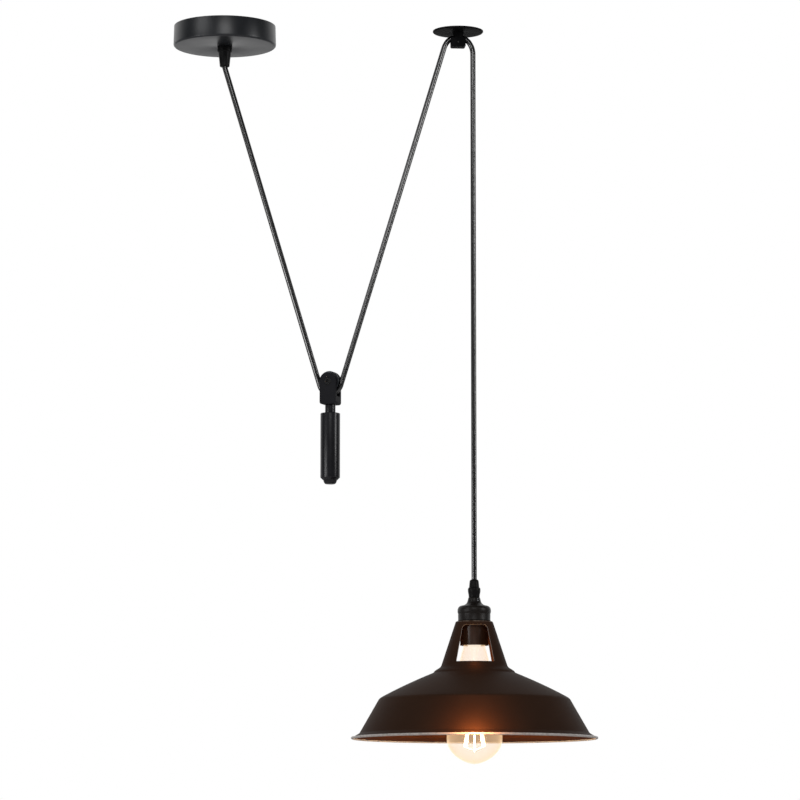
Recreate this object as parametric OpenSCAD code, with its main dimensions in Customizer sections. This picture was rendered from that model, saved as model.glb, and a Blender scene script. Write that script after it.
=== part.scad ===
// Rise and fall pendant: a metal shade on a cord that runs over a ceiling guide,
// down round the pulley of a bar counterweight and back up to a ceiling rose.
// Millimetres. +Z is up, the origin is the centre of the rose on the ceiling,
// and the rose, the counterweight, the guide and the lamp stand along +X.

/* [Layout] */
// Distance along the ceiling from the rose to the guide
guide_x = 260.8; // [240:0.5:290]
// Depth of the counterweight's pulley axle below the ceiling
pulley_drop = 397.5; // [330:0.5:440]
// Depth of the top of the lamp's cord grip below the ceiling
lamp_drop = 615; // [590:1:660]
// Turn of the counterweight about its own upright axis
weight_turn = -25; // [-30:1:30]
// Turn of the shade about the lamp's axis
shade_turn = -4.2; // [-180:0.1:180]
// Gap between pieces that seat on each other without being fixed
seat_gap = 0.2; // [0.1:0.05:0.3]

/* [Cord] */
// Diameter of the cord
cord_d = 6; // [5:0.1:6.2]
// Distance from the guide's middle to the drop
guide_reach = 16.7; // [16:0.1:18]
// Radius of the cord's centre line where it turns out of the guide
guide_bend_r = 12; // [12:0.1:13]
// Depth of the cord's centre line below the ceiling inside the guide
guide_cord_drop = 7.9; // [7.8:0.1:8.2]
// Diameter of one insulated conductor
lead_d = 1.8; // [1.4:0.1:2]

/* [Rose] */
// Diameter of the rose's cup
rose_d = 112.8; // [105:0.2:125]
// Height of the rose's cup
rose_h = 23; // [22:0.5:30]
// Wall of the rose's cup
rose_wall = 1.2; // [0.8:0.1:1.6]
// Radius of the bend between the cup's side and its floor
rose_bend_r = 2.4; // [1.8:0.1:3]
// Distance between the strap's two fixing slots
strap_slot_spacing = 66; // [60:1:70]
// Length of a fixing slot, end to end
strap_slot_l = 12; // [8:0.5:14]
// Width of a fixing slot
strap_slot_w = 4.6; // [4:0.1:5.4]
// Width of the strap
strap_w = 20; // [16:0.5:26]
// Thickness of the strap
strap_t = 1.6; // [1.2:0.1:2]
// Diameter of the screws through the side of the cup
side_screw_d = 3.4; // [3:0.1:4]
// Length of the terminal block along its row of screws
terminal_l = 30; // [27:0.5:34]
// Width of the terminal block
terminal_w = 16; // [14:0.5:18]
// Height of the terminal block
terminal_h = 11; // [10:0.5:12]

/* [Rose cord grip] */
// Diameter of the grip's collar, against the cup
rose_grip_collar_d = 16.4; // [15:0.2:20]
// Height of the grip's collar
rose_grip_collar_h = 6.4; // [5:0.2:8]
// Diameter of the grip's sleeve under the collar
rose_grip_d = 14; // [12.6:0.2:14.6]
// Diameter of the grip at its mouth
rose_grip_mouth_d = 11; // [9.8:0.2:12]
// Height of the whole grip below the cup
rose_grip_h = 22.8; // [20:0.2:28]
// Diameter of the grip's hollow screw, inside the cup
grip_thread_d = 10; // [9:0.2:11]

/* [Guide] */
// Diameter of the guide's ceiling plate
plate_d = 56.3; // [48:0.5:66]
// Thickness of the guide's ceiling plate
plate_t = 1.8; // [1.4:0.1:2.2]
// Diameter of the neck between the plate and the block
neck_d = 12.6; // [11.6:0.2:14]
// Width of the guide's block, along the cord
block_w = 16.6; // [15:0.2:19]
// Depth of the guide's block, across the cord
block_d = 10.4; // [10:0.1:11.4]
// Depth of the top of the block below the ceiling
block_top = 8; // [7:0.1:9]
// Depth of the bottom of the block below the ceiling
block_bottom = 18.8; // [18.7:0.1:22]
// Radius of the block's lower corners
block_corner_r = 1.8; // [1:0.1:2.4]
// Width of the way through the block for the cord
guide_slot_w = 7; // [6.8:0.1:7.4]
// Radius of the guide roller where the cord runs
roller_r = 2.3; // [2:0.05:2.35]
// Height of the roller's flanges over its tread
roller_lip = 0.6; // [0.3:0.05:0.6]
// Diameter of the roller's pin
roller_pin_d = 2; // [1.6:0.1:2.2]
// Diameter of the tapped hole for the ceiling screw
guide_thread_d = 5; // [4:0.1:6]
// Depth of the tapped hole for the ceiling screw
guide_thread_l = 3.7; // [3:0.1:4.1]

/* [Counterweight] */
// Radius of the cord's centre line round the pulley
pulley_cord_r = 13; // [12.4:0.1:15]
// Height of the pulley's flanges over the bottom of its groove
pulley_flange_h = 1.75; // [1.2:0.05:2.2]
// Width of the pulley
pulley_w = 9.4; // [9:0.1:10]
// Gap between the pulley and each cheek of the yoke
pulley_side_gap = 0.4; // [0.35:0.05:0.6]
// Diameter of the pulley's axle screw
axle_d = 4; // [3.6:0.1:5]
// Wall of the pulley's bush
bush_wall = 1; // [0.7:0.1:1.4]
// Running clearance of a bush or roller on its pin
run_gap = 0.05; // [0.03:0.01:0.08]
// Width of the yoke, and of its round top
yoke_w = 19; // [17:0.2:21]
// Thickness of each cheek of the yoke
cheek_t = 4; // [3.6:0.1:5]
// Thickness of the yoke under its slot
yoke_floor_t = 8.8; // [7:0.2:12]
// Radius of the yoke's lower corners
yoke_corner_r = 3; // [1:0.2:4]
// Diameter of the axle screw's head
axle_head_d = 8; // [7:0.2:9]
// Height of the axle screw's head
axle_head_h = 2.2; // [1.8:0.1:2.6]
// Diameter of the stem between the yoke and the weight
stem_d = 11.5; // [10:0.1:13]
// Length of the stem that shows
stem_gap_l = 9.5; // [6:0.5:14]
// Diameter of the weight
weight_d = 21.7; // [19:0.1:26]
// Length of the weight
weight_l = 74; // [60:0.5:90]
// Chamfer round the bottom of the weight
weight_chamfer = 2.8; // [1:0.1:3.4]
// Diameter of the end cap where it meets the weight
cap_d = 15.6; // [13:0.1:16]
// Height of the end cap
cap_h = 4.6; // [3:0.1:6]

/* [Lamp cord grip] */
// Height of the grip's upper sleeve
grip_top_h = 8.8; // [7:0.2:11]
// Diameter of the upper sleeve at its top
grip_top_d = 8.8; // [8.2:0.1:9.4]
// Diameter of the upper sleeve at its foot
grip_sleeve_d = 11.2; // [10:0.1:12]
// Height of the grip's barrel
grip_barrel_h = 10.6; // [9:0.2:13]
// Diameter of the barrel at its widest
grip_barrel_d = 13.9; // [12.8:0.1:15]
// Diameter of the barrel at its foot
grip_foot_d = 12.1; // [11.4:0.1:12.6]

/* [Lampholder] */
// Height of the cap over the lampholder
holder_cap_h = 26; // [25:0.2:28]
// Diameter of the cap at its bead
holder_bead_d = 36.7; // [36.2:0.1:40]
// Height of the bead's middle above the foot of the cap
holder_bead_z = 11.2; // [11:0.2:12]
// Diameter of the cap below its bead
holder_cap_d = 35.4; // [35:0.1:36]
// Wall of the cap and of the skirt
holder_wall = 1.2; // [1:0.05:1.25]
// Outer diameter of the skirt
skirt_d = 31; // [30.8:0.1:31.6]
// Length of the skirt below the cap
skirt_l = 26.8; // [26:0.2:30]
// Outer diameter of the ring that clamps the shade
shade_ring_d = 36; // [34.6:0.1:37]
// Height of the ring that clamps the shade
shade_ring_h = 4; // [3:0.1:6]

/* [Shade] */
// Wall of the shade
shade_t = 1; // [0.8:0.05:1.2]
// Height of the shade
shade_h = 129; // [126:0.5:140]
// Radius of the shade's neck at its top
neck_top_r = 20.2; // [19.8:0.1:21.5]
// Radius of the shade's neck at its foot
neck_foot_r = 36.2; // [34:0.1:38]
// Height of the shade's neck
neck_h = 48.4; // [47:0.2:52]
// Radius of the bead at the foot of the neck
foot_bead_r = 43.4; // [42:0.1:45]
// Radius at which the shoulder turns down
knee_r = 104.1; // [98:0.1:110]
// Depth of that turn below the top of the shade
knee_drop = 84.4; // [80:0.2:88]
// Radius of the fillet where the shoulder turns down
knee_fillet_r = 8; // [3:0.5:10]
// Rise of the shoulder over a straight line
shoulder_crown = 0.9; // [0:0.1:2]
// Radius of the lower cone where the brim begins
brim_root_r = 126; // [120:0.2:128]
// Radius of the brim to the middle of its rolled edge
brim_r = 133.8; // [131:0.2:140]
// Drop of the brim from its root to its edge
brim_drop = 5; // [4:0.2:7]
// Radius of the rolled edge
roll_r = 1.35; // [1.1:0.05:1.6]
// Width of a vent window at its foot
window_foot_w = 42; // [36:0.5:46]
// Width of a vent window at its top
window_top_w = 27; // [22:0.5:30]
// Depth of a window's top below the top of the shade
window_top = 4.6; // [4:0.2:8]
// Depth of a window's foot below the top of the shade
window_foot = 45.2; // [38:0.2:46]
// Radius of a window's upper corners
window_corner_r = 5; // [3:0.2:7]

/* [Bulb] */
// Greatest diameter of the bulb
bulb_d = 61; // [55:0.5:66]
// Diameter of the bulb's neck
bulb_neck_d = 22.8; // [20:0.2:23.2]
// Spread of the glass where its neck begins
bulb_neck_flare = 7.8; // [2:0.2:9]
// Length of the glass below the screw base
bulb_glass_l = 131.6; // [120:0.2:145]
// Wall of the glass
glass_t = 0.9; // [0.6:0.05:1.1]
// Crest diameter of the bulb's screw base
base_d = 26.2; // [26:0.05:26.4]
// Pitch of the bulb's screw base
base_pitch = 3.62; // [3.4:0.02:3.7]
// Turns of thread on the bulb's screw base
base_turns = 4; // [3:1:5]
// Length of one filament
filament_l = 42; // [34:1:48]
// Diameter of one filament
filament_d = 1.8; // [1:0.1:2.4]
// Number of filaments
filament_n = 4; // [3:1:6]

/* [Hidden] */
$fn = 96;
eps = 0.01;

// Cord
cord_r = cord_d / 2;
cord_bore_r = cord_r + 0.15;
rose_exit_z = -rose_h - rose_grip_h;
guide_flat = 5;
guide_left_x = guide_x - guide_flat / 2;
guide_right_x = guide_x + guide_flat / 2;
drop_x = guide_x + guide_reach;

// Each side of the guide the cord bends twice: tightly at the mouth, through the first
// turn, and then gently, on the radius that brings the drop upright at the guide's reach.
guide_turn = 51;
guide_sweep_r =
  (guide_reach - guide_flat / 2 - guide_bend_r * sin(guide_turn)) / (1 - sin(guide_turn));
// How far out and how far down the cord's centre line is after turning through an angle
function guide_out(turn) =
  guide_bend_r * sin(min(turn, guide_turn))
  + guide_sweep_r * (sin(max(turn, guide_turn)) - sin(guide_turn));
function guide_down(turn) =
  guide_bend_r * (1 - cos(min(turn, guide_turn)))
  + guide_sweep_r * (cos(guide_turn) - cos(max(turn, guide_turn)));
lamp_z = -lamp_drop;
pulley_z = -pulley_drop;

// The pulley hangs where both runs of the cord lean alike. Each round of the
// function puts the last lean into the tangent points and works the lean out again.
// The pulley is turned by weight_turn, so its own lean, seen square on, is smaller.
function pulley_lean(lean) = atan(tan(lean) * cos(weight_turn));
function run_lean(lean, rounds) =
  let (
    side = pulley_cord_r * cos(pulley_lean(lean)) * cos(weight_turn),
    dip = pulley_cord_r * sin(pulley_lean(lean)),
    across = guide_left_x - guide_out(90 - lean) - 2 * side,
    down = rose_exit_z - guide_cord_drop - guide_down(90 - lean) - 2 * pulley_z + 2 * dip,
    next = atan(across / down)
  )
  rounds == 0 ? lean : run_lean(next, rounds - 1);
lean = run_lean(17, 12);
wheel_lean = pulley_lean(lean);
tangent_side = pulley_cord_r * cos(wheel_lean);
tangent_z = pulley_z - pulley_cord_r * sin(wheel_lean);
weight_x = (rose_exit_z - tangent_z) * tan(lean) + tangent_side * cos(weight_turn);
turned_side = tangent_side * [cos(weight_turn), sin(weight_turn), 0];
left_tangent = [weight_x, 0, tangent_z] - turned_side;
right_tangent = [weight_x, 0, tangent_z] + turned_side;
guide_tangent = [
  guide_left_x - guide_out(90 - lean),
  0,
  -guide_cord_drop - guide_down(90 - lean)
];
rose_exit = [0, 0, rose_exit_z];
drop_top = [drop_x, 0, -guide_cord_drop - guide_down(90)];
// The pulley's groove is a little wider than the cord
groove_gap = 0.25;
cord_end_gap = 0.45;

// Counterweight, measured from the pulley's axle
groove_r = cord_r + groove_gap;
pulley_root_r = pulley_cord_r - groove_r;
pulley_r = pulley_root_r + pulley_flange_h;
yoke_slot_w = pulley_w + 2 * pulley_side_gap;
yoke_d = yoke_slot_w + 2 * cheek_t;
yoke_slot_floor = -pulley_cord_r - cord_r - 0.6;
yoke_foot = yoke_slot_floor - yoke_floor_t;
weight_top = yoke_foot - stem_gap_l;
weight_foot = weight_top - weight_l;
axle_r = axle_d / 2;
bush_bore_r = axle_r + run_gap;
bush_r = bush_bore_r + bush_wall;
washer_r = bush_r + 1;
washer_t = pulley_side_gap - 0.1;
axle_thread_r = axle_r - 0.4;
stud_r = 4;
stud_l = 7;

// Lamp, measured down from the top of the cord grip
grip_foot = -grip_top_h - grip_barrel_h;
lamp_tail_foot = grip_foot - 10;
cap_top = grip_foot - seat_gap;
cap_foot = cap_top - holder_cap_h;
shade_top = cap_foot - seat_gap;
skirt_r = skirt_d / 2;
skirt_bore_r = skirt_r - holder_wall - 0.1;
skirt_foot = cap_foot - skirt_l;
collar_top = cap_foot + 11;
core_top = cap_foot + 9.4;
core_foot = cap_foot - 0.6;
contact_z = core_foot - 1.4;
insulator_top = contact_z - 0.9;
thread_top = insulator_top - 3.2;
thread_foot = thread_top - base_turns * base_pitch;
base_foot = thread_foot - 4.2;
glass_foot = base_foot - bulb_glass_l;
base_crest_r = base_d / 2;
thread_depth = 0.85;
base_wall = 0.35;
shell_t = 0.4;
shell_gap = 0.3;
stem_top_r = 2.6;
filament_lean = 13;
filament_foot_gap = 19;
filament_top = glass_foot + filament_foot_gap + filament_l * cos(filament_lean);
stem_foot = filament_top + 5.6;

// Points on an arc about c, from angle a to angle b
function arc(c, r, a, b, n = 12) =
  [for (i = [0:n]) c + r * [cos(a + (b - a) * i / n), sin(a + (b - a) * i / n)]];
// A cubic curve from p to s, pulled towards q and r
function bezier(p, q, r, s, n = 12) =
  [for (i = [0:n]) let (t = i / n, u = 1 - t)
    u * u * u * p + 3 * u * u * t * q + 3 * u * t * t * r + t * t * t * s];
// The same line with a point left out at each end, to join curves end to end
function tail(line) = [for (i = [1:len(line) - 1]) line[i]];
function unit(v) = v / norm(v);
// Right-hand normal at point i of a line
function line_normal(p, i) =
  let (
    a = i == 0 ? p[1] - p[0] : p[i] - p[i - 1],
    b = i == len(p) - 1 ? a : p[i + 1] - p[i],
    d = unit(unit(a) + unit(b)),
    square = unit(a) * d
  )
  [d[1], -d[0]] / max(square, 0.5);
// An open line made into a closed outline of thickness t on its right-hand side
function walled(p, t) =
  concat(p, [for (i = [len(p) - 1:-1:0]) p[i] + t * line_normal(p, i)]);
// A conductor's line: straight at both ends, where it leaves along away and arrives along into
function lead_line(start, away, finish, into, end_l, n) =
  concat(
    [start],
    bezier(start + lead_start_l * unit(away), start + away, finish - into, finish - end_l * unit(into), n),
    [finish]
  );
// A corner at c between points a and b, rounded with radius r
function fillet(a, c, b, r, n = 8) =
  let (
    u = unit(a - c),
    v = unit(b - c),
    half = acos(u * v) / 2,
    middle = c + unit(u + v) * r / sin(half),
    start = c + u * r / tan(half),
    finish = c + v * r / tan(half),
    from = atan2(start[1] - middle[1], start[0] - middle[0]),
    turn = atan2(finish[1] - middle[1], finish[0] - middle[0]) - from,
    short = turn > 180 ? turn - 360 : turn < -180 ? turn + 360 : turn
  )
  arc(middle, r, from, from + short, n);

module ring(outer_r, inner_r, h) {
  difference() {
    cylinder(h = h, r = outer_r);
    translate([0, 0, -1]) cylinder(h = h + 2, r = inner_r);
  }
}
// A straight round rod between two points
module rod(p, q, r) {
  d = q - p;
  translate(p)
    rotate([0, acos(d[2] / norm(d)), atan2(d[1], d[0])])
      cylinder(h = norm(d), r = r);
}
// A bent round rod in the XZ plane: an arc about c from angle a to angle b
module bent_rod(c, bend_r, r, a, b) {
  translate([c[0], 0, c[1]])
    rotate([90, 0, 0])
      rotate([0, 0, a])
        rotate_extrude(angle = b - a, $fn = 180)
          translate([bend_r, 0]) circle(r = r, $fn = 32);
}
// A tube swept along a line that never runs along Y, cut square to the ways given at its ends
module swept(line, r, sides, first_way, last_way) {
  last = len(line) - 1;
  function heading(i) =
    i == 0 ? first_way : i == last ? last_way : unit(line[i + 1] - line[i - 1]);
  function across(i) = unit(cross(heading(i), [0, 1, 0]));
  points = [
    for (i = [0:last], k = [0:sides - 1])
      let (u = across(i), v = cross(heading(i), u))
      line[i] + r * (cos(360 * k / sides) * u + sin(360 * k / sides) * v)
  ];
  sleeve = [
    for (i = [0:last - 1], k = [0:sides - 1])
      let (a = i * sides + k, b = i * sides + (k + 1) % sides)
      [a, b, b + sides, a + sides]
  ];
  ends = [
    [for (k = [sides - 1:-1:0]) k],
    [for (k = [0:sides - 1]) last * sides + k]
  ];
  polyhedron(points = points, faces = concat(sleeve, ends));
}
// An insulated conductor, eight-sided
module lead(line) {
  last = len(line) - 1;
  swept(line, lead_d / 2, 8, unit(line[1] - line[0]), unit(line[last] - line[last - 1]));
}
// A box with upright edges rounded
module round_box(size, r) {
  linear_extrude(size[2])
    union() {
      translate([-size[0] / 2 + r, -size[1] / 2]) square([size[0] - 2 * r, size[1]]);
      translate([-size[0] / 2, -size[1] / 2 + r]) square([size[0], size[1] - 2 * r]);
      for (x = [-1, 1], y = [-1, 1])
        translate([x * (size[0] / 2 - r), y * (size[1] / 2 - r)]) circle(r = r);
    }
}
// A slug with a six-sided socket in its end, standing on its tip
module socket_screw(r, l, socket_across, socket_l) {
  difference() {
    cylinder(h = l, r = r);
    translate([0, 0, l - socket_l])
      cylinder(h = socket_l + 1, r = socket_across / sqrt(3), $fn = 6);
  }
}
module on_weight() {
  translate([weight_x, 0, pulley_z]) rotate([0, 0, weight_turn]) children();
}
module on_lamp() {
  translate([drop_x, 0, lamp_z]) children();
}

// ---- Ceiling rose -------------------------------------------------------

rose_r = rose_d / 2;
cup_lip = 0.6;
strap_end_x = rose_r - rose_wall - seat_gap;
tab_h = 12;
side_screw_z = -7.5;
grip_thread_r = grip_thread_d / 2;
nut_h = 3;
nut_r = grip_thread_r + 3;
inner_thread_h = 8;
rose_tail_top = -rose_h + inner_thread_h + 1;
lead_start_l = 1;
terminal_x = 17.5;
terminal_z = -strap_t - seat_gap;
pole_n = 3;
pole_pitch = terminal_l / pole_n;
lead_hole_l = 4.2;
lead_hole_z = terminal_z - terminal_h / 2 - 1;
rose_screw_z = -rose_h - rose_grip_collar_h / 2;

// Pressed cup with a rounded lower edge and a folded lip round the ceiling edge
module rose_cup() {
  outline = concat(
    [[rose_r, 0]],
    arc([rose_r - rose_bend_r + cup_lip, -rose_h + rose_bend_r], rose_bend_r, 0, -90),
    [[grip_thread_r + 0.2, -rose_h]]
  );
  color("#3f4248")
    difference() {
      rotate_extrude() polygon(walled(outline, rose_wall));
      for (side = [0, 180])
        rotate([0, 0, side])
          translate([rose_r - 2 * rose_wall - 1, 0, side_screw_z])
            rotate([0, 90, 0]) cylinder(h = 4 * rose_wall + 2, r = side_screw_d / 2);
    }
}

// Steel strap across the cup, slotted for the ceiling screws, with a tapped tab at each end
module rose_strap() {
  color("#b9bbbd")
    difference() {
      union() {
        translate([-strap_end_x, -strap_w / 2, -strap_t])
          cube([2 * strap_end_x, strap_w, strap_t]);
        for (side = [0, 180])
          rotate([0, 0, side])
            translate([strap_end_x - 2 * strap_t - 3, -strap_w / 4, -tab_h])
              cube([strap_t, strap_w / 2, tab_h - strap_t + eps]);
      }
      // The round edge of the cup trims the strap's square corners
      difference() {
        translate([-rose_r, -rose_r, -strap_t - 1]) cube([2 * rose_r, 2 * rose_r, strap_t + 2]);
        translate([0, 0, -strap_t - 2]) cylinder(h = strap_t + 4, r = strap_end_x);
      }
      for (side = [-1, 1])
        translate([side * strap_slot_spacing / 2, 0, -strap_t - 1])
          linear_extrude(strap_t + 2)
            union() {
              square([strap_slot_l - strap_slot_w, strap_slot_w], center = true);
              for (end = [-1, 1])
                translate([end * (strap_slot_l - strap_slot_w) / 2, 0])
                  circle(r = strap_slot_w / 2);
            }
      // Way in for the supply cable
      translate([0, 0, -strap_t - 1]) cylinder(h = strap_t + 2, r = strap_w / 4);
      for (side = [0, 180])
        rotate([0, 0, side])
          translate([strap_end_x - 2 * strap_t - 4, 0, side_screw_z])
            rotate([0, 90, 0]) cylinder(h = 2 * strap_t + 3, r = side_screw_d / 2);
    }
}

// Headless screws through the side of the cup into the strap's tabs
module rose_side_screws() {
  color("#55585c")
    for (side = [0, 180])
      rotate([0, 0, side])
        translate([strap_end_x - 2 * strap_t - 3.4, 0, side_screw_z])
          rotate([0, 90, 0])
            socket_screw(side_screw_d / 2, 2 * strap_t + 3.4 + seat_gap + rose_wall, 1.5, 1.6);
}

// Three-pole terminal block under the strap
module terminal_block() {
  color("#e9e6de")
    translate([terminal_x, 0, terminal_z - terminal_h])
      difference() {
        union() {
          round_box([terminal_w, terminal_l, terminal_h - 4], 1.2);
          for (pole = [0:pole_n - 1])
            translate([0, (pole - 1) * pole_pitch, 0])
              round_box([terminal_w - 5, pole_pitch - 1.6, terminal_h], 1.2);
        }
        for (pole = [0:pole_n - 1], side = [-1, 1]) {
          translate([side * 3, (pole - 1) * pole_pitch, -1])
            cylinder(h = terminal_h - 4, r = 1.7);
          translate([
            side * (terminal_w / 2 - lead_hole_l),
            (pole - 1) * pole_pitch,
            lead_hole_z - terminal_z + terminal_h
          ])
            rotate([0, side * 90, 0]) cylinder(h = lead_hole_l + 2, r = lead_d / 2 + seat_gap);
        }
      }
}

// Screws of the terminal block, two for each pole
module terminal_screws() {
  color("#c9b26a")
    for (pole = [0:pole_n - 1], side = [-1, 1])
      translate([terminal_x + side * 3, (pole - 1) * pole_pitch, terminal_z - terminal_h + 0.6])
        difference() {
          cylinder(h = terminal_h - 5.6, r = 1.6);
          translate([-2, -0.25, -1]) cube([4, 0.5, 1.6]);
        }
}

// Tapered grip under the cup, with its hollow screw standing up through the floor
module rose_grip() {
  collar_r = rose_grip_collar_d / 2;
  sleeve_r = rose_grip_d / 2;
  mouth_r = rose_grip_mouth_d / 2;
  outline = concat(
    [
      [cord_bore_r, -rose_h + inner_thread_h],
      [grip_thread_r, -rose_h + inner_thread_h],
      [grip_thread_r, -rose_h],
      [collar_r, -rose_h],
      [collar_r, -rose_h - rose_grip_collar_h + 0.8],
      [collar_r - 0.8, -rose_h - rose_grip_collar_h],
      [sleeve_r, -rose_h - rose_grip_collar_h]
    ],
    arc([mouth_r - 1.2, rose_exit_z + 1.2], 1.2, 12, -90, 6),
    [[cord_bore_r + 0.6, rose_exit_z], [cord_bore_r, rose_exit_z + 0.8]]
  );
  color("#2b2d31")
    difference() {
      rotate_extrude() polygon(outline);
      translate([0, 0, rose_screw_z])
        rotate([-90, 0, 0]) cylinder(h = collar_r + 1, r = 1.6);
    }
}

// Six-sided nut that pulls the grip up against the floor of the cup
module rose_grip_nut() {
  color("#b9bbbd")
    translate([0, 0, -rose_h + rose_wall])
      difference() {
        cylinder(h = nut_h, r = nut_r, $fn = 6);
        translate([0, 0, -1]) cylinder(h = nut_h + 2, r = grip_thread_r);
      }
}

// Screw in the back of the collar that pinches the cord
module rose_grip_screw() {
  color("#8d9093")
    translate([0, cord_r, rose_screw_z])
      rotate([-90, 0, 0])
        socket_screw(1.6, rose_grip_collar_d / 2 - cord_r - 0.3, 1.5, 1.4);
}

// End of the cord inside the grip and the cup
module rose_cord_tail() {
  color("#17181a") rod([0, 0, rose_exit_z], [0, 0, rose_tail_top], cord_r);
}

// Three conductors from the end of the cord to the terminal block
module rose_leads() {
  for (pole = [0:pole_n - 1]) {
    across = pole - 1;
    start = [0, across * (lead_d + seat_gap / 2), rose_tail_top + seat_gap];
    finish = [
      terminal_x - terminal_w / 2 + lead_hole_l - 1,
      across * pole_pitch,
      lead_hole_z
    ];
    color(["#2f6fb5", "#6b4a2f", "#5f9a3a"][pole])
      lead(lead_line(start, [0, 0, 5], finish, [9, 0, 0], lead_hole_l, 8));
  }
}

// ---- Ceiling guide ------------------------------------------------------

roller_z = -guide_cord_drop - cord_r - 0.05 - roller_r;
roller_half_w = guide_slot_w / 2 - 0.25;
guide_slot_top = -guide_cord_drop + cord_r + 0.6;
guide_slot_foot = roller_z - roller_r - roller_lip - 0.2;

// Round plate against the ceiling, with a small turned edge and the hole for its screw
module guide_plate() {
  color("#2a2d30")
    translate([guide_x, 0, 0])
      rotate_extrude()
        polygon([
          [guide_thread_d / 2, 0],
          [plate_d / 2, 0],
          [plate_d / 2, -plate_t + 0.7],
          [plate_d / 2 - 0.7, -plate_t],
          [guide_thread_d / 2, -plate_t]
        ]);
}

// Neck and block in one piece, slotted along X for the cord and its roller
module guide_housing() {
  r = block_corner_r;
  half = block_w / 2;
  color("#26282b")
    translate([guide_x, 0, 0])
      difference() {
        union() {
          translate([0, 0, -block_top - 0.01]) cylinder(h = block_top - plate_t + 0.01, r = neck_d / 2);
          intersection() {
            translate([0, block_d / 2, 0])
              rotate([90, 0, 0])
                linear_extrude(block_d)
                  polygon(concat(
                    fillet([-half, -block_bottom], [-half, -block_top], [half, -block_top], 0.8, 4),
                    fillet([-half, -block_top], [half, -block_top], [half, -block_bottom], 0.8, 4),
                    fillet([half, -block_top], [half, -block_bottom], [-half, -block_bottom], r),
                    fillet([half, -block_bottom], [-half, -block_bottom], [-half, -block_top], r)
                  ));
            translate([0, 0, -block_bottom - 1]) round_box([block_w, block_d, block_bottom], 1.4);
          }
        }
        translate([-half - 1, -guide_slot_w / 2, guide_slot_foot])
          cube([block_w + 2, guide_slot_w, guide_slot_top - guide_slot_foot]);
        translate([0, block_d / 2 + 1, roller_z])
          rotate([90, 0, 0]) cylinder(h = block_d + 2, r = roller_pin_d / 2);
        translate([0, 0, -guide_thread_l])
          cylinder(h = guide_thread_l + 1, r = guide_thread_d / 2);
      }
}

// Small grooved roller that the cord runs over
module guide_roller() {
  bore_r = roller_pin_d / 2 + run_gap;
  lip_r = roller_r + roller_lip;
  half = roller_half_w;
  color("#c8a24c")
    translate([guide_x, 0, roller_z])
      rotate([90, 0, 0])
        rotate_extrude()
          polygon([
            [bore_r, -half],
            [lip_r, -half],
            [lip_r, -half + 0.5],
            [roller_r, -half + 1.3],
            [roller_r, half - 1.3],
            [lip_r, half - 0.5],
            [lip_r, half],
            [bore_r, half]
          ]);
}

// Pin of the roller, flush with both sides of the block
module guide_pin() {
  color("#8d9093")
    translate([guide_x, block_d / 2, roller_z])
      rotate([90, 0, 0]) cylinder(h = block_d, r = roller_pin_d / 2);
}

// ---- Counterweight ------------------------------------------------------

// Forked block with round-topped cheeks: the front outline meets a plan with rounded edges
module yoke() {
  half = yoke_w / 2;
  r = yoke_corner_r;
  color("#34363a")
    on_weight()
      difference() {
        intersection() {
          translate([0, yoke_d / 2, 0])
            rotate([90, 0, 0])
              linear_extrude(yoke_d)
                polygon(concat(
                  arc([0, 0], half, 180, 0, 32),
                  fillet([half, 0], [half, yoke_foot], [-half, yoke_foot], r),
                  fillet([half, yoke_foot], [-half, yoke_foot], [-half, 0], r)
                ));
          translate([0, 0, yoke_foot - 1]) round_box([yoke_w, yoke_d, half - yoke_foot + 2], 0.9);
        }
        // Slot for the pulley and the cord round it
        translate([-half - 1, -yoke_slot_w / 2, yoke_slot_floor])
          cube([yoke_w + 2, yoke_slot_w, half - yoke_slot_floor + 1]);
        // Axle: counterbore and hole in the front cheek, tapped hole in the rear one
        rotate([90, 0, 0]) cylinder(h = yoke_d, r = axle_r);
        translate([0, -yoke_d / 2 + axle_head_h, 0])
          rotate([90, 0, 0]) cylinder(h = axle_head_h + 1, r = axle_head_d / 2 + seat_gap);
        rotate([-90, 0, 0]) cylinder(h = yoke_d, r = axle_thread_r);
        // Tapped hole for the stem's stud
        translate([0, 0, yoke_foot - 1]) cylinder(h = stud_l + 1, r = stud_r);
      }
}

// Grooved pulley
module weight_pulley() {
  half = pulley_w / 2;
  open_half = sqrt(groove_r * groove_r - pow(pulley_cord_r - pulley_r, 2));
  open_angle = atan2(open_half, pulley_cord_r - pulley_r);
  color("#4a4d52")
    on_weight()
      rotate([90, 0, 0])
        rotate_extrude()
          polygon(concat(
            [[bush_r, -half], [pulley_r - 0.5, -half], [pulley_r, -half + 0.5]],
            arc([pulley_cord_r, 0], groove_r, 180 + open_angle, 180 - open_angle, 16),
            [[pulley_r, half - 0.5], [pulley_r - 0.5, half], [bush_r, half]]
          ));
}

// Bush pressed into the pulley
module pulley_bush() {
  color("#c8a24c")
    on_weight()
      translate([0, pulley_w / 2, 0]) rotate([90, 0, 0]) ring(bush_r, bush_bore_r, pulley_w);
}

// Thin washers at each side of the pulley
module pulley_washers() {
  color("#c9cbcd")
    on_weight()
      for (side = [-1, 1])
        translate([0, side * (yoke_slot_w - washer_t) / 2 + washer_t / 2, 0])
          rotate([90, 0, 0]) ring(washer_r, axle_r, washer_t);
}

// Axle screw: a flush head with a six-sided socket, a plain shank and a threaded end
module axle_screw() {
  color("#6f7276")
    on_weight()
      translate([0, -yoke_d / 2, 0])
        rotate([-90, 0, 0])
          difference() {
            union() {
              cylinder(h = axle_head_h, r = axle_head_d / 2);
              cylinder(h = cheek_t + yoke_slot_w, r = axle_r);
              cylinder(h = yoke_d - 0.6, r = axle_thread_r);
            }
            translate([0, 0, -1]) cylinder(h = 2.6, r = 2.5 / sqrt(3), $fn = 6);
          }
}

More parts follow.
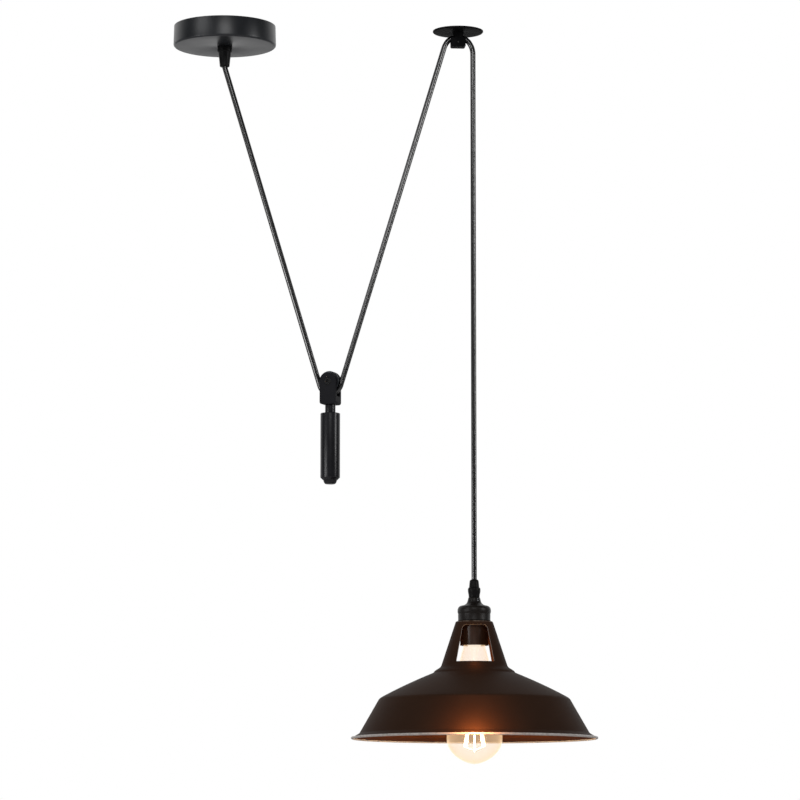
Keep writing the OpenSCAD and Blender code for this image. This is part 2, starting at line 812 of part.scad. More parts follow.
// Stem with a stud at each end, into the yoke and into the weight
module weight_stem() {
  color("#3a3c40")
    on_weight()
      rotate_extrude()
        polygon([
          [0, weight_top - stud_l],
          [stud_r, weight_top - stud_l],
          [stud_r, weight_top],
          [stem_d / 2 - 0.5, weight_top],
          [stem_d / 2, weight_top + 0.5],
          [stem_d / 2, yoke_foot - 0.5],
          [stem_d / 2 - 0.5, yoke_foot],
          [stud_r, yoke_foot],
          [stud_r, yoke_foot + stud_l - 0.3],
          [0, yoke_foot + stud_l - 0.3]
        ]);
}

cap_stud_r = 3;
cap_stud_l = 6;

// Solid round bar, drilled for the stem's stud and for the end cap's
module weight_bar() {
  color("#3d3f45")
    on_weight()
      rotate_extrude()
        polygon([
          [0, weight_top - stud_l - 0.3],
          [stud_r, weight_top - stud_l - 0.3],
          [stud_r, weight_top],
          [weight_d / 2 - 0.6, weight_top],
          [weight_d / 2, weight_top - 0.6],
          [weight_d / 2, weight_foot + weight_chamfer],
          [weight_d / 2 - weight_chamfer, weight_foot],
          [cap_stud_r, weight_foot],
          [cap_stud_r, weight_foot + cap_stud_l],
          [0, weight_foot + cap_stud_l]
        ]);
}

// Domed cap screwed into the bottom of the bar
module weight_end_cap() {
  foot = weight_foot - cap_h;
  color("#4a4c52")
    on_weight()
      rotate_extrude()
        polygon(concat(
          [
            [0, weight_foot + cap_stud_l - 0.3],
            [cap_stud_r, weight_foot + cap_stud_l - 0.3],
            [cap_stud_r, weight_foot],
            [cap_d / 2, weight_foot]
          ],
          bezier(
            [cap_d / 2 - 0.3, weight_foot - 0.6],
            [cap_d / 2 - 1, weight_foot - cap_h * 0.75],
            [cap_d / 2 - 2, foot],
            [cap_d / 2 - 4.4, foot]
          ),
          [[0, foot]]
        ));
}

// ---- Lamp: cord grip and lampholder --------------------------------------

grip_core_r = 4.2;
lamp_screw_z = cap_top - 2.6;
lamp_screw_turn = -58;

// Cord grip: a tapered sleeve over a barrel, with its hollow screw down into the cap
module lamp_grip() {
  sleeve_foot = -grip_top_h;
  outline = concat(
    [[cord_bore_r, -0.4], [cord_bore_r + 0.4, 0], [grip_top_d / 2 - 0.6, 0]],
    [[grip_top_d / 2, -0.6], [grip_top_d / 2 + 0.6, -1.8]],
    [[grip_sleeve_d / 2, sleeve_foot + 0.4]],
    bezier(
      [grip_sleeve_d / 2 + 0.3, sleeve_foot],
      [grip_barrel_d / 2 - 0.1, sleeve_foot - 0.5],
      [grip_barrel_d / 2, sleeve_foot - 1.6],
      [grip_barrel_d / 2, sleeve_foot - 2.8],
      8
    ),
    bezier(
      [grip_barrel_d / 2 - 0.05, sleeve_foot - 4],
      [grip_barrel_d / 2 - 0.3, sleeve_foot - 6],
      [grip_foot_d / 2, grip_foot + 3],
      [grip_foot_d / 2, grip_foot],
      8
    ),
    [
      [grip_core_r, grip_foot],
      [grip_core_r, grip_foot - 9],
      [cord_bore_r, grip_foot - 9]
    ]
  );
  color("#202124") on_lamp() rotate_extrude() polygon(outline);
}

// Screw in the cap's collar that holds the grip
module lamp_grip_screw() {
  color("#c9cbcd")
    on_lamp()
      rotate([0, 0, lamp_screw_turn])
        translate([grip_core_r, 0, lamp_screw_z])
          rotate([0, 90, 0]) socket_screw(1.5, 3.2, 1.5, 1.2);
}

// End of the cord inside the grip and the cap
module lamp_cord_tail() {
  color("#17181a") on_lamp() rod([0, 0, lamp_tail_foot], [0, 0, -0.3], cord_r);
}

// Two conductors from the end of the cord to the lampholder's core
module lamp_leads() {
  for (side = [-1, 1]) {
    start = [side * 1.2, 0, lamp_tail_foot - seat_gap];
    finish = [side * 3.9, 0, core_top - core_slot_l + seat_gap];
    color(side < 0 ? "#2f6fb5" : "#6b4a2f")
      on_lamp() lead(lead_line(start, [0, 0, -3], finish, [0, 0, -4], lead_start_l, 6));
  }
}

// Cap over the lampholder: collar, swept flare, dome, bead, groove and lower band
module holder_cap() {
  collar_r = grip_foot_d / 2 + 0.2;
  bead_r = holder_bead_d / 2;
  band_r = holder_cap_d / 2;
  bead_z = cap_foot + holder_bead_z;
  inner_r = band_r - holder_wall;
  screw_r = 1.5;
  outer = concat(
    [[grip_core_r, cap_top], [collar_r, cap_top]],
    bezier(
      [collar_r + 0.5, cap_top - 1.2],
      [collar_r + 1.1, cap_top - 5.6],
      [collar_r + 2.2, cap_top - 7.6],
      [collar_r + 6.4, cap_top - 8.8],
      8
    ),
    bezier(
      [collar_r + 7.6, cap_top - 9],
      [bead_r - 1.8, cap_top - 9.4],
      [bead_r, bead_z + 3.6],
      [bead_r, bead_z],
      10
    ),
    bezier(
      [bead_r - 0.05, bead_z - 1],
      [bead_r - 0.1, bead_z - 2.4],
      [band_r, bead_z - 2.6],
      [band_r, bead_z - 3.6],
      6
    ),
    [[band_r + 0.1, bead_z - 4.4], [band_r, cap_foot + 1.4]],
    [[band_r + 0.3, cap_foot + 0.7], [band_r, cap_foot]]
  );
  inner = concat(
    [[inner_r, cap_foot], [inner_r, bead_z + 0.6]],
    bezier(
      [inner_r, bead_z + 1.6],
      [inner_r - 0.4, bead_z + 3.4],
      [inner_r - 3, cap_top - 10.2],
      [collar_r + 5, cap_top - 10.4],
      6
    ),
    [[grip_core_r, cap_top - 10.4]]
  );
  color("#26221f")
    on_lamp()
      difference() {
        rotate_extrude() polygon(concat(outer, inner));
        rotate([0, 0, lamp_screw_turn])
          translate([0, 0, lamp_screw_z])
            rotate([0, 90, 0]) cylinder(h = collar_r + 4, r = screw_r);
      }
}

// Skirt: screwed up into the cap, and long enough to cover the bulb's base
module holder_skirt() {
  thread_r = holder_cap_d / 2 - holder_wall;
  color("#33271f")
    on_lamp()
      rotate_extrude()
        polygon([
          [skirt_bore_r, collar_top],
          [thread_r, collar_top],
          [thread_r, cap_foot + 1.2],
          [skirt_r, cap_foot + 0.2],
          [skirt_r, skirt_foot + 0.9],
          [skirt_r + 0.35, skirt_foot + 0.5],
          [skirt_r, skirt_foot],
          [skirt_bore_r, skirt_foot]
        ]);
}

core_slot_l = 3;
core_screw_r = 1.5;

// Ceramic core that carries the contacts
module holder_core() {
  color("#e8e4da")
    on_lamp()
      difference() {
        translate([0, 0, core_foot]) cylinder(h = core_top - core_foot, r = skirt_bore_r - 0.1);
        translate([-9.5, -2.2, core_top - core_slot_l]) cube([19, 4.4, core_slot_l + 1]);
        for (side = [-1, 1])
          translate([side * 7, 0, core_top - 7]) cylinder(h = 8, r = core_screw_r);
      }
}

// Two terminal screws in the core's slot
module holder_screws() {
  color("#c9b26a")
    on_lamp()
      for (side = [-1, 1])
        translate([side * 7, 0, core_top - 6.6])
          difference() {
            union() {
              cylinder(h = 6.6 - core_slot_l, r = core_screw_r);
              translate([0, 0, 6.6 - core_slot_l]) cylinder(h = 1.6, r = 2.1);
            }
            translate([-3, -0.3, 7.6 - core_slot_l]) cube([6, 0.6, 2]);
          }
}

// Half a turn of the screw base's wave, crest to root, as radius over height
function wave(z) = (1 + cos(360 * z / base_pitch)) / 2;
wave_steps = 8;
function thread_line(crest_r, top, turns, grow) =
  [for (i = [0:turns * wave_steps])
    let (z = i * base_pitch / wave_steps)
    [crest_r + grow - thread_depth * (1 - wave(z + base_pitch / 2)), top - z]];

// Threaded shell that the bulb screws into
module socket_shell() {
  inner = thread_line(base_crest_r, thread_top, base_turns, shell_gap);
  outline = concat([[inner[0][0], core_foot]], inner);
  color("#c9b26a")
    on_lamp()
      rotate_extrude()
        polygon(concat(
          outline,
          [for (i = [len(outline) - 1:-1:0]) outline[i] + [shell_t, 0]]
        ));
}

// Sprung tongue that presses on the bulb's end contact
module centre_contact() {
  color("#c9b26a")
    on_lamp()
      difference() {
        translate([0, 0, core_foot]) mirror([0, 0, 1])
          rotate_extrude()
            polygon([[0, 0], [5, 0], [5, 0.6], [3.4, 0.6], [2.6, 1.1], [0, 1.1]]);
        for (side = [-1, 1])
          translate([-6, side * 5 - 2, core_foot - 2]) cube([12, 4, 2]);
      }
}

// Ring that clamps the shade up against the cap
module shade_ring() {
  top = shade_top - shade_t - seat_gap / 2;
  color("#4a3b30")
    on_lamp()
      difference() {
        translate([0, 0, top - shade_ring_h]) ring(shade_ring_d / 2, skirt_r, shade_ring_h);
        for (notch = [0:5])
          rotate([0, 0, notch * 60 + 30])
            translate([shade_ring_d / 2 - 0.9, -1.4, top - shade_ring_h - 1])
              cube([2, 2.8, shade_ring_h + 2]);
      }
}

// ---- Shade ----------------------------------------------------------------

// Outline of the shade, from the hole at its top to its rolled edge, as radius over height
knee = [knee_r, -knee_drop];
brim_z = -shade_h + roll_r;
brim_root = [brim_root_r, brim_z + brim_drop];
brim_end = [brim_r - 0.2 * roll_r, brim_z + 0.55 * roll_r];
neck_top = [neck_top_r, 0];
neck_foot = [neck_foot_r, -neck_h];
bead_edge = [foot_bead_r, -neck_h - 6];
shoulder_start = [foot_bead_r + 1.8, -neck_h - 8.2];
shoulder_mid = (shoulder_start + knee) / 2;
shoulder_up = unit([shoulder_start[1] - knee[1], knee[0] - shoulder_start[0]]) * shoulder_crown * 1.34;
shade_line = concat(
  [[skirt_r + 0.3, 0]],
  fillet([skirt_r + 0.3, 0], neck_top, neck_foot, 1.6, 6),
  [neck_foot],
  tail(bezier(
    neck_foot,
    neck_foot + [1.2, -3],
    bead_edge + [-3.4, 2.6],
    bead_edge,
    6
  )),
  tail(bezier(
    bead_edge,
    bead_edge + [0.9, -0.8],
    shoulder_start + [-1, 0.9],
    shoulder_start,
    4
  )),
  tail(bezier(
    shoulder_start,
    shoulder_start * 0.67 + knee * 0.33 + shoulder_up,
    shoulder_start * 0.33 + knee * 0.67 + shoulder_up,
    knee + unit(shoulder_mid - knee) * 3.6 + shoulder_up * 0.12,
    12
  )),
  fillet(shoulder_mid, knee, brim_root, knee_fillet_r, 6),
  fillet(knee, brim_root, brim_end, 2.4, 5),
  [brim_end]
);

// The windows' outline: a trapezium, narrow at the top, with two round corners
module window_outline() {
  top_w = window_top_w / 2;
  foot_w = window_foot_w / 2;
  left_top = [-top_w, -window_top];
  right_top = [top_w, -window_top];
  left_foot = [-foot_w, -window_foot];
  right_foot = [foot_w, -window_foot];
  polygon(concat(
    fillet(left_foot, left_top, right_top, window_corner_r),
    fillet(left_top, right_top, right_foot, window_corner_r),
    fillet(right_top, right_foot, left_foot, 0.8, 4),
    fillet(right_foot, left_foot, left_top, 0.8, 4)
  ));
}

// Spun shade: neck with a window front and back, bead, shoulder, lower cone, rolled brim
module shade() {
  color("#2b231e")
    on_lamp()
      translate([0, 0, shade_top])
        rotate([0, 0, shade_turn])
          difference() {
            union() {
              rotate_extrude() polygon(walled(shade_line, shade_t));
              rotate_extrude() translate([brim_r, brim_z]) circle(r = roll_r, $fn = 24);
            }
            rotate([90, 0, 0])
              linear_extrude(2 * neck_foot_r + 20, center = true) window_outline();
          }
}

// ---- Bulb -----------------------------------------------------------------

glass_top_r = bulb_neck_d / 2;
bulb_r = bulb_d / 2;
widest_z = glass_foot + bulb_glass_l * 0.205;
glass_flange_r = base_crest_r - thread_depth - base_wall - seat_gap;
glass_line = concat(
  [[glass_flange_r, base_foot + 4], [glass_flange_r, base_foot + 2]],
  bezier(
    [glass_top_r, base_foot],
    [glass_top_r + bulb_neck_flare, base_foot - bulb_glass_l * 0.24],
    [bulb_r, widest_z + bulb_glass_l * 0.28],
    [bulb_r, widest_z],
    20
  ),
  tail(bezier(
    [bulb_r, widest_z],
    [bulb_r, widest_z - bulb_glass_l * 0.1],
    [bulb_r * 0.52, glass_foot + 1.4],
    [0, glass_foot],
    16
  ))
);
// The inside of the glass, drawn in from its outside towards the axis
function inner_glass(p, t) =
  [for (i = [0:len(p) - 1])
    i == len(p) - 1 ? [0, p[i][1] + t] : p[i] + t * line_normal(p, i)];

// Clear teardrop
module bulb_glass() {
  inner = inner_glass(glass_line, glass_t);
  color("#f4ead2", 0.35)
    on_lamp()
      rotate_extrude()
        polygon(concat(glass_line, [for (i = [len(inner) - 1:-1:0]) [max(inner[i][0], 0), inner[i][1]]]));
}

// Screw base: rolled thread over a plain skirt
module bulb_base() {
  line = thread_line(base_crest_r, thread_top, base_turns, 0);
  wall = base_wall;
  rim = [[base_crest_r - thread_depth, base_foot]];
  color("#b7b9bb")
    on_lamp()
      rotate_extrude()
        polygon(concat(
          [[base_crest_r - 3, thread_top + 0.2]],
          line,
          rim,
          [rim[0] - [wall, 0]],
          [for (i = [len(line) - 1:-1:0]) line[i] - [wall, 0]],
          [[base_crest_r - 3, thread_top - 0.2]]
        ));
}

// Black glass cone between the thread and the end contact
module bulb_insulator() {
  color("#1c1c1e")
    on_lamp()
      rotate_extrude()
        polygon([
          [0, insulator_top],
          [4.6, insulator_top],
          [base_crest_r - 3, thread_top + 0.2],
          [base_crest_r - 3, thread_top - 0.2],
          [base_crest_r - 3.4, thread_top - 1.4],
          [0, thread_top - 1.4]
        ]);
}

// End contact of the bulb
module bulb_contact() {
  color("#c7c9cb")
    on_lamp()
      translate([0, 0, insulator_top])
        rotate_extrude() polygon([[0, 0], [4.4, 0], [3.8, 0.5], [2, 0.8], [0, 0.85]]);
}

// Glass stem: a flare sealed inside the neck, drawn out to a rod
module bulb_stem() {
  color("#e8e6df", 0.5)
    on_lamp()
      rotate_extrude()
        polygon(concat(
          [[0, base_foot + 2], [glass_top_r - glass_t - 0.4, base_foot + 2]],
          bezier(
            [glass_top_r - glass_t - 0.4, base_foot + 0.6],
            [4, base_foot - 3],
            [stem_top_r, base_foot - 12],
            [stem_top_r, base_foot - 24],
            10
          ),
          [[stem_top_r, filament_top + 7], [support_r, stem_foot], [0, stem_foot]]
        ));
}

filament_top_r = 5;
filament_foot_r = filament_top_r + filament_l * sin(filament_lean);
filament_foot_z = filament_top - filament_l * cos(filament_lean);
support_r = 0.8;

// Wires that hold the filaments at their tops and bottoms
module bulb_supports() {
  wire_r = 0.35;
  color("#9a9c9e")
    on_lamp()
      union() {
        rod([0, 0, filament_foot_z - 6], [0, 0, stem_foot], support_r);
        for (i = [0:filament_n - 1])
          rotate([0, 0, i * 360 / filament_n + 45]) {
            rod([0, 0, filament_top + 3], [filament_top_r, 0, filament_top], wire_r);
            rod([0, 0, filament_foot_z - 4], [filament_foot_r, 0, filament_foot_z], wire_r);
          }
      }
}

// Straight filaments, spreading towards the bottom
module filaments() {
  color("#ffd9a0")
    on_lamp()
      for (i = [0:filament_n - 1])
        rotate([0, 0, i * 360 / filament_n + 45]) {
          direction = unit([filament_foot_r - filament_top_r, 0, filament_foot_z - filament_top]);
          rod(
            [filament_top_r, 0, filament_top] + direction * 0.6,
            [filament_foot_r, 0, filament_foot_z] - direction * 0.6,
            filament_d / 2
          );
        }
}

// ---- Cord -----------------------------------------------------------------

// Left run, from the rose down to the counterweight
module cord_left() {
  along = unit(left_tangent - rose_exit);
  color("#111214")
    difference() {
      rod(rose_exit - along * cord_r, left_tangent - along * cord_end_gap, cord_r);
      translate([-cord_d, -cord_d, rose_exit_z]) cube([2 * cord_d, 2 * cord_d, cord_d]);
    }
}

// Under the pulley, from one tangent point to the other
module cord_weight_bend() {
  color("#111214")
    on_weight() bent_rod([0, 0], pulley_cord_r, cord_r, 180 + wheel_lean, 360 - wheel_lean);
}

// Right run, from the counterweight up to the guide
module cord_right() {
  along = unit(guide_tangent - right_tangent);
  color("#111214") rod(right_tangent + along * cord_end_gap, guide_tangent - along * seat_gap, cord_r);
}

// Over the guide: up round the bends on one side, across the roller and down the other
module cord_guide_bend() {
  steps = 18;
  rise = [
    for (k = [0:steps])
      let (turn = (90 - lean) * (1 - k / steps))
      [guide_left_x - guide_out(turn), 0, -guide_cord_drop - guide_down(turn)]
  ];
  fall = [
    for (k = [0:steps])
      let (turn = 90 * k / steps)
      [guide_right_x + guide_out(turn), 0, -guide_cord_drop - guide_down(turn)]
  ];
  color("#111214") swept(concat(rise, fall), cord_r, 24, [sin(lean), 0, cos(lean)], [0, 0, -1]);
}

// Drop, from the guide straight down to the lamp
module cord_drop() {
  color("#111214") rod([drop_x, 0, lamp_z], drop_top - [0, 0, seat_gap], cord_r);
}

rose_cup();
rose_strap();
rose_side_screws();
terminal_block();
terminal_screws();
rose_grip();
rose_grip_nut();
rose_grip_screw();
rose_cord_tail();
rose_leads();
guide_plate();
guide_housing();
guide_roller();
guide_pin();
yoke();
weight_pulley();
pulley_bush();
pulley_washers();
axle_screw();
weight_stem();
weight_bar();
weight_end_cap();
lamp_grip();
lamp_grip_screw();
lamp_cord_tail();
lamp_leads();
holder_cap();
holder_skirt();
holder_core();
holder_screws();
socket_shell();
centre_contact();
shade_ring();
shade();
bulb_glass();
bulb_base();
bulb_insulator();
bulb_contact();
bulb_stem();
bulb_supports();
filaments();
cord_left();
cord_weight_bend();
cord_right();
cord_guide_bend();
cord_drop();
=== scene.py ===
# %% [markdown]
# # A rise and fall pendant
#
# The lamp hangs from a cord that runs from a ceiling rose, down round the pulley of a
# small bar weight, up over a guide on the ceiling and down again to a spun metal shade.
# The working parts arrive as a fixed frame. This notebook dresses them: it works out the
# turned, spun and blown shapes as surfaces of two parameters, and paints them with
# procedural finishes.

# %% The frame and the units
import math

import bpy
import bmesh
import numpy as np
from mathutils import Matrix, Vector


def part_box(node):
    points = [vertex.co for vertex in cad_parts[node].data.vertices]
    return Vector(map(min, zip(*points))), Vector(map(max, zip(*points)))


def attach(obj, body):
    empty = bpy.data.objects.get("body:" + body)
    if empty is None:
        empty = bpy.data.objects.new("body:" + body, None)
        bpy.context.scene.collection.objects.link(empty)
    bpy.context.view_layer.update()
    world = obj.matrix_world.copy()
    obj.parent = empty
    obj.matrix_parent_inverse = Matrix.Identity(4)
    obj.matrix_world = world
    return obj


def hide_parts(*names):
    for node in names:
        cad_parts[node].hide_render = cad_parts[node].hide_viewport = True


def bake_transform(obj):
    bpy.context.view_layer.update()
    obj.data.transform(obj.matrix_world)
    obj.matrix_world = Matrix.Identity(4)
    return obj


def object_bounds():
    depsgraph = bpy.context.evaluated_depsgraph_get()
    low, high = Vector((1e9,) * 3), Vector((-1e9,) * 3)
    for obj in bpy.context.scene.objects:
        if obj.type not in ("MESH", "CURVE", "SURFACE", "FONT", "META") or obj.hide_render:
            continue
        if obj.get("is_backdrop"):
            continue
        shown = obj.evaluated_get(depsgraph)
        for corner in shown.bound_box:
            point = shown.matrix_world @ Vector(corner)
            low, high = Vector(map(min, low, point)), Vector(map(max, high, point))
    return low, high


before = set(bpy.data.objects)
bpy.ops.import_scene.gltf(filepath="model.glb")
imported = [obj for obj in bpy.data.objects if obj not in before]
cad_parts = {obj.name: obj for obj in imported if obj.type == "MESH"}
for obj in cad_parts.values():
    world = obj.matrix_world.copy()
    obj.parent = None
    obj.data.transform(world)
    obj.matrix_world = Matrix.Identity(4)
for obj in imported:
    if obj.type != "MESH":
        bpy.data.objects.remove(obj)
cad_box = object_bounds()
MM = 0.001
frame_materials = len(bpy.data.materials)

# %% [markdown]
# ## Sizes
#
# Every size is written in millimetres, as it would be on a drawing. Places come from the
# frame: the lamp's axis is the middle of the shade, and heights hang from the pieces that
# carry them.

# %% Places taken from the frame


def centre_mm(node):
    """The middle of a node's box, in millimetres."""
    low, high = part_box(node)
    return np.array((low + high) / 2) / MM


def top_mm(node):
    """The height of a node's highest point, in millimetres."""
    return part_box(node)[1].z / MM


def foot_mm(node):
    """The height of a node's lowest point, in millimetres."""
    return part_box(node)[0].z / MM


lamp_x = centre_mm("shade")[0]
guide_x = centre_mm("guide_plate")[0]
weight_x = centre_mm("weight_bar")[0]
pulley_z = centre_mm("weight_pulley")[2]
lamp_top = top_mm("lamp_grip")
shade_top = top_mm("shade")
rose_exit_z = foot_mm("rose_grip")
print(f"lamp axis at x {lamp_x:.1f} mm, weight at x {weight_x:.2f} mm, pulley at z {pulley_z:.1f} mm")

# %% [markdown]
# ## Camera
#
# The photograph looks as if it was taken from four metres away with a long lens, a little to
# the left of the rose and below the rim of the shade, looking slightly up. A camera turned by
# five degrees shows the row of ceiling rose, weight, guide and lamp as the photograph does.

# %% Camera
camera_at = np.array([-163.6, -4106.4, -937.56])
camera_turn = math.radians(5)
camera_tilt = math.radians(7.2)
focal_px = 3764
frame_px = 800
sensor_mm = 36

camera_data = bpy.data.cameras.new("camera")
camera_data.sensor_width = sensor_mm
camera_data.lens = focal_px * sensor_mm / frame_px
camera_data.clip_start = 0.1
camera_data.clip_end = 50
camera = bpy.data.objects.new("camera", camera_data)
camera.location = camera_at * MM
camera.rotation_euler = (math.pi / 2 + camera_tilt, 0, -camera_turn)
bpy.context.scene.collection.objects.link(camera)
bpy.context.scene.camera = camera
print(f"lens {camera_data.lens:.1f} mm")

# %% [markdown]
# ## Shader maths as expressions
#
# A procedural finish is arithmetic on numbers that vary over the surface. Wiring Math nodes
# by hand hides the formula, so a small class wraps a socket, and adding or multiplying two
# of them adds the node. Colours go through Mix nodes, because Math would turn them grey. Every
# other node comes from one method, and the sky at the end uses the same one.

# %% A socket that takes part in sums


class Wire:
    """A value that flows between nodes. Sums and products of wires add Math nodes."""

    def __init__(self, nodes, socket):
        self.nodes = nodes
        self.socket = socket

    def maths(self, operation, first, second=0.0, clamp=False):
        settings = {"operation": operation, "use_clamp": clamp}
        return self.nodes.node("ShaderNodeMath", settings, {0: first, 1: second})

    def __add__(self, other):
        return self.maths("ADD", self, other)

    __radd__ = __add__

    def __mul__(self, other):
        return self.maths("MULTIPLY", self, other)

    __rmul__ = __mul__

    def __sub__(self, other):
        return self.maths("SUBTRACT", self, other)

    def __rsub__(self, other):
        return self.maths("SUBTRACT", other, self)

    def __pow__(self, other):
        return self.maths("POWER", self, other)

    def __abs__(self):
        return self.maths("ABSOLUTE", self)

    def sine(self):
        return self.maths("SINE", self)

    def clamped(self):
        """The same value, held between 0 and 1."""
        return self.maths("ADD", self, 0.0, clamp=True)

    def step(self, low, high):
        """0 below low, 1 above high and a smooth S between them."""
        settings = {"interpolation_type": "SMOOTHSTEP"}
        values = {"Value": self, "From Min": low, "From Max": high}
        return self.nodes.node("ShaderNodeMapRange", settings, values)


print("wires can be added, multiplied, subtracted and raised to a power")

# %% A tree that takes values and wires alike


class Nodes:
    """A tree of nodes. node() adds any node from its type, its settings and its inputs."""

    def __init__(self, tree):
        self.tree = tree

    def node(self, kind, settings=None, values=None, output=0):
        made = self.tree.nodes.new(kind)
        for key, value in (settings or {}).items():
            setattr(made, key, value)
        for key, value in (values or {}).items():
            self.feed(made.inputs[key], value)
        return Wire(self, made.outputs[output])

    def feed(self, socket, value):
        """Links a wire to a socket, or writes a plain value there."""
        if isinstance(value, Wire):
            self.tree.links.new(value.socket, socket)
        else:
            socket.default_value = value


print("a tree adds any node in one call")

# %% One finish


class Finish(Nodes):
    """A material with one Principled shader, and the few nodes that most finishes share."""

    def __init__(self, name):
        self.material = bpy.data.materials.new(name)
        self.material.use_nodes = True
        super().__init__(self.material.node_tree)
        self.shader = self.tree.nodes["Principled BSDF"]

    def set(self, **values):
        """Sets or links sockets of the shader; underscores in a name stand for spaces."""
        for key, value in values.items():
            self.feed(self.shader.inputs[key.replace("_", " ")], value)
        return self

    def place(self, about=(0, 0, 0)):
        """The point on the surface, in metres, measured from a given point."""
        coordinates = self.node("ShaderNodeTexCoord", output="Object")
        return self.node(
            "ShaderNodeVectorMath", {"operation": "SUBTRACT"}, {0: coordinates, 1: about}
        )

    def parts(self, vector):
        """The x, y and z of a vector as three wires."""
        split = self.node("ShaderNodeSeparateXYZ", values={0: vector}).socket.node
        return [Wire(self, split.outputs[k]) for k in range(3)]

    def noise(self, vector, scale, detail=2.0, roughness=0.5):
        """Soft noise from 0 to 1; the scale is its waves per metre."""
        values = {"Vector": vector, "Scale": scale, "Detail": detail, "Roughness": roughness}
        return self.node("ShaderNodeTexNoise", values=values, output="Fac")

    def mix(self, share, first, second):
        """A colour share of the way from first to second."""
        made = self.tree.nodes.new("ShaderNodeMix")
        made.data_type = "RGBA"
        colours = [s for s in made.inputs if s.type == "RGBA"]
        self.feed(made.inputs[0], share)
        for socket, value in zip(colours, (first, second)):
            self.feed(socket, value if isinstance(value, Wire) else (*value, 1.0))
        return Wire(self, next(s for s in made.outputs if s.type == "RGBA"))

    def bump(self, height, depth_mm, strength=1.0):
        """Feeds a height from 0 to 1, that many millimetres deep, to the shader's normal."""
        values = {"Height": height, "Distance": depth_mm * MM, "Strength": strength}
        self.feed(self.shader.inputs["Normal"], self.node("ShaderNodeBump", values=values))
        return self


def srgb(red, green, blue):
    """A screen colour, 0 to 255, as the linear numbers that a shader wants."""
    share = np.array([red, green, blue]) / 255
    linear = np.where(share <= 0.04045, share / 12.92, ((share + 0.055) / 1.055) ** 2.4)
    return tuple(float(v) for v in linear)


print("mid grey as a shader wants it:", [round(v, 3) for v in srgb(128, 128, 128)])

# %% [markdown]
# ## Finishes
#
# Sprayed enamel on metal is nearly black but never flat: it has a very fine orange peel,
# patches that are a touch duller, and a brown or blue cast under light. Each finish below
# starts from the same recipe, with its own colour, gloss and grain.

# %% Enamels and lacquers


def enamel(name, dark, light, roughness, specular, grain_mm=0.5, peel_mm=0.004):
    """Sprayed paint: colour and gloss drift in soft patches, over a fine orange peel."""
    finish = Finish(name)
    place = finish.place()
    patches = finish.noise(place, 45.0, 3.0)
    peel = finish.noise(place, 1 / (grain_mm * MM), 2.0)
    finish.set(
        Base_Color=finish.mix(patches.step(0.3, 0.7), dark, light),
        Roughness=roughness + 0.1 * (patches - 0.5) + 0.02 * (peel - 0.5),
        Specular_IOR_Level=specular,
    )
    return finish.bump(peel, peel_mm, 0.6)


rose_enamel = enamel("rose_enamel", srgb(24, 26, 29), srgb(30, 32, 36), 0.34, 0.42)
guide_enamel = enamel("guide_enamel", srgb(10, 10, 11), srgb(17, 17, 18), 0.55, 0.03)
weight_enamel = enamel("weight_enamel", srgb(22, 22, 25), srgb(28, 28, 31), 0.28, 0.25)
holder_lacquer = enamel("holder_lacquer", srgb(15, 11, 9), srgb(21, 16, 13), 0.42, 0.24, peel_mm=0.003)
skirt_lacquer = enamel("skirt_lacquer", srgb(44, 28, 18), srgb(54, 35, 23), 0.33, 0.35)
yoke_enamel = enamel("yoke_enamel", srgb(27, 27, 30), srgb(33, 33, 36), 0.5, 0.04)
screw_black = enamel("screw_black", srgb(10, 10, 11), srgb(16, 16, 17), 0.34, 0.2)
print("enamels and lacquers:", len(bpy.data.materials) - frame_materials)

# %% [markdown]
# ## The shade's paint
#
# The shade is spun over a former, so a trace of its turning lines shows through the paint.
# They follow the distance travelled along the profile, which radius minus height stands
# for. The paint is brown-black outside and warmer inside. A pale ring on the edge at the top of
# the neck is a painted highlight, and the cuts are pale with bare metal and a painted highlight.

# %% The shade's paint
turning_lines = 5200.0
# Where the painted highlight on the edge at the neck's top lies: a band of height and a band of
# radius.
highlight_middle = 0.6 * MM
highlight_from, highlight_to = 0.2 * MM, 0.9 * MM
highlight_r_from, highlight_r_to = 18.5 * MM, 19.5 * MM


def shade_paint(name, dark, light, roughness, specular, neck_highlight_strength):
    """Satin paint with turning lines, the sine of that many radians for each metre travelled.
    The last argument is how strong a painted highlight is on the edge at the neck's top, in a ring by
    height and radius."""
    finish = Finish(name)
    place = finish.place((lamp_x * MM, 0, shade_top * MM))
    x, y, z = finish.parts(place)
    radius = (x * x + y * y) ** 0.5
    lines = ((radius - z) * turning_lines).sine() * 0.5 + 0.5
    patches = finish.noise(place, 16.0, 4.0, 0.55)
    grain = finish.noise(place, 2600.0, 2.0)
    colour = finish.mix(patches.step(0.25, 0.75), dark, light)
    # A painted highlight: a pale ring on the edge at the neck's top, broken up by noise.
    near_top = 1 - abs(z + highlight_middle).step(highlight_from, highlight_to)
    rim = near_top * radius.step(highlight_r_from, highlight_r_to)
    neck_highlight = rim * finish.noise(place, 300.0).step(0.3, 0.6) * neck_highlight_strength
    finish.set(
        Base_Color=finish.mix(neck_highlight, colour, srgb(120, 108, 98)),
        Roughness=roughness + 0.08 * (patches - 0.5) + 0.08 * (grain - 0.5),
        Specular_IOR_Level=specular,
    )
    return finish.bump(grain * 0.75 + lines * 0.25, 0.012, 0.7)


shade_outside = shade_paint("shade_outside", srgb(45, 29, 20), srgb(50, 33, 23), 0.55, 0.03, 0.6)
shade_inside = shade_paint("shade_inside", srgb(64, 35, 20), srgb(74, 41, 24), 0.6, 0.02, 0.0)
print("a turning line each", round(2 * math.pi / turning_lines / MM, 2), "mm")
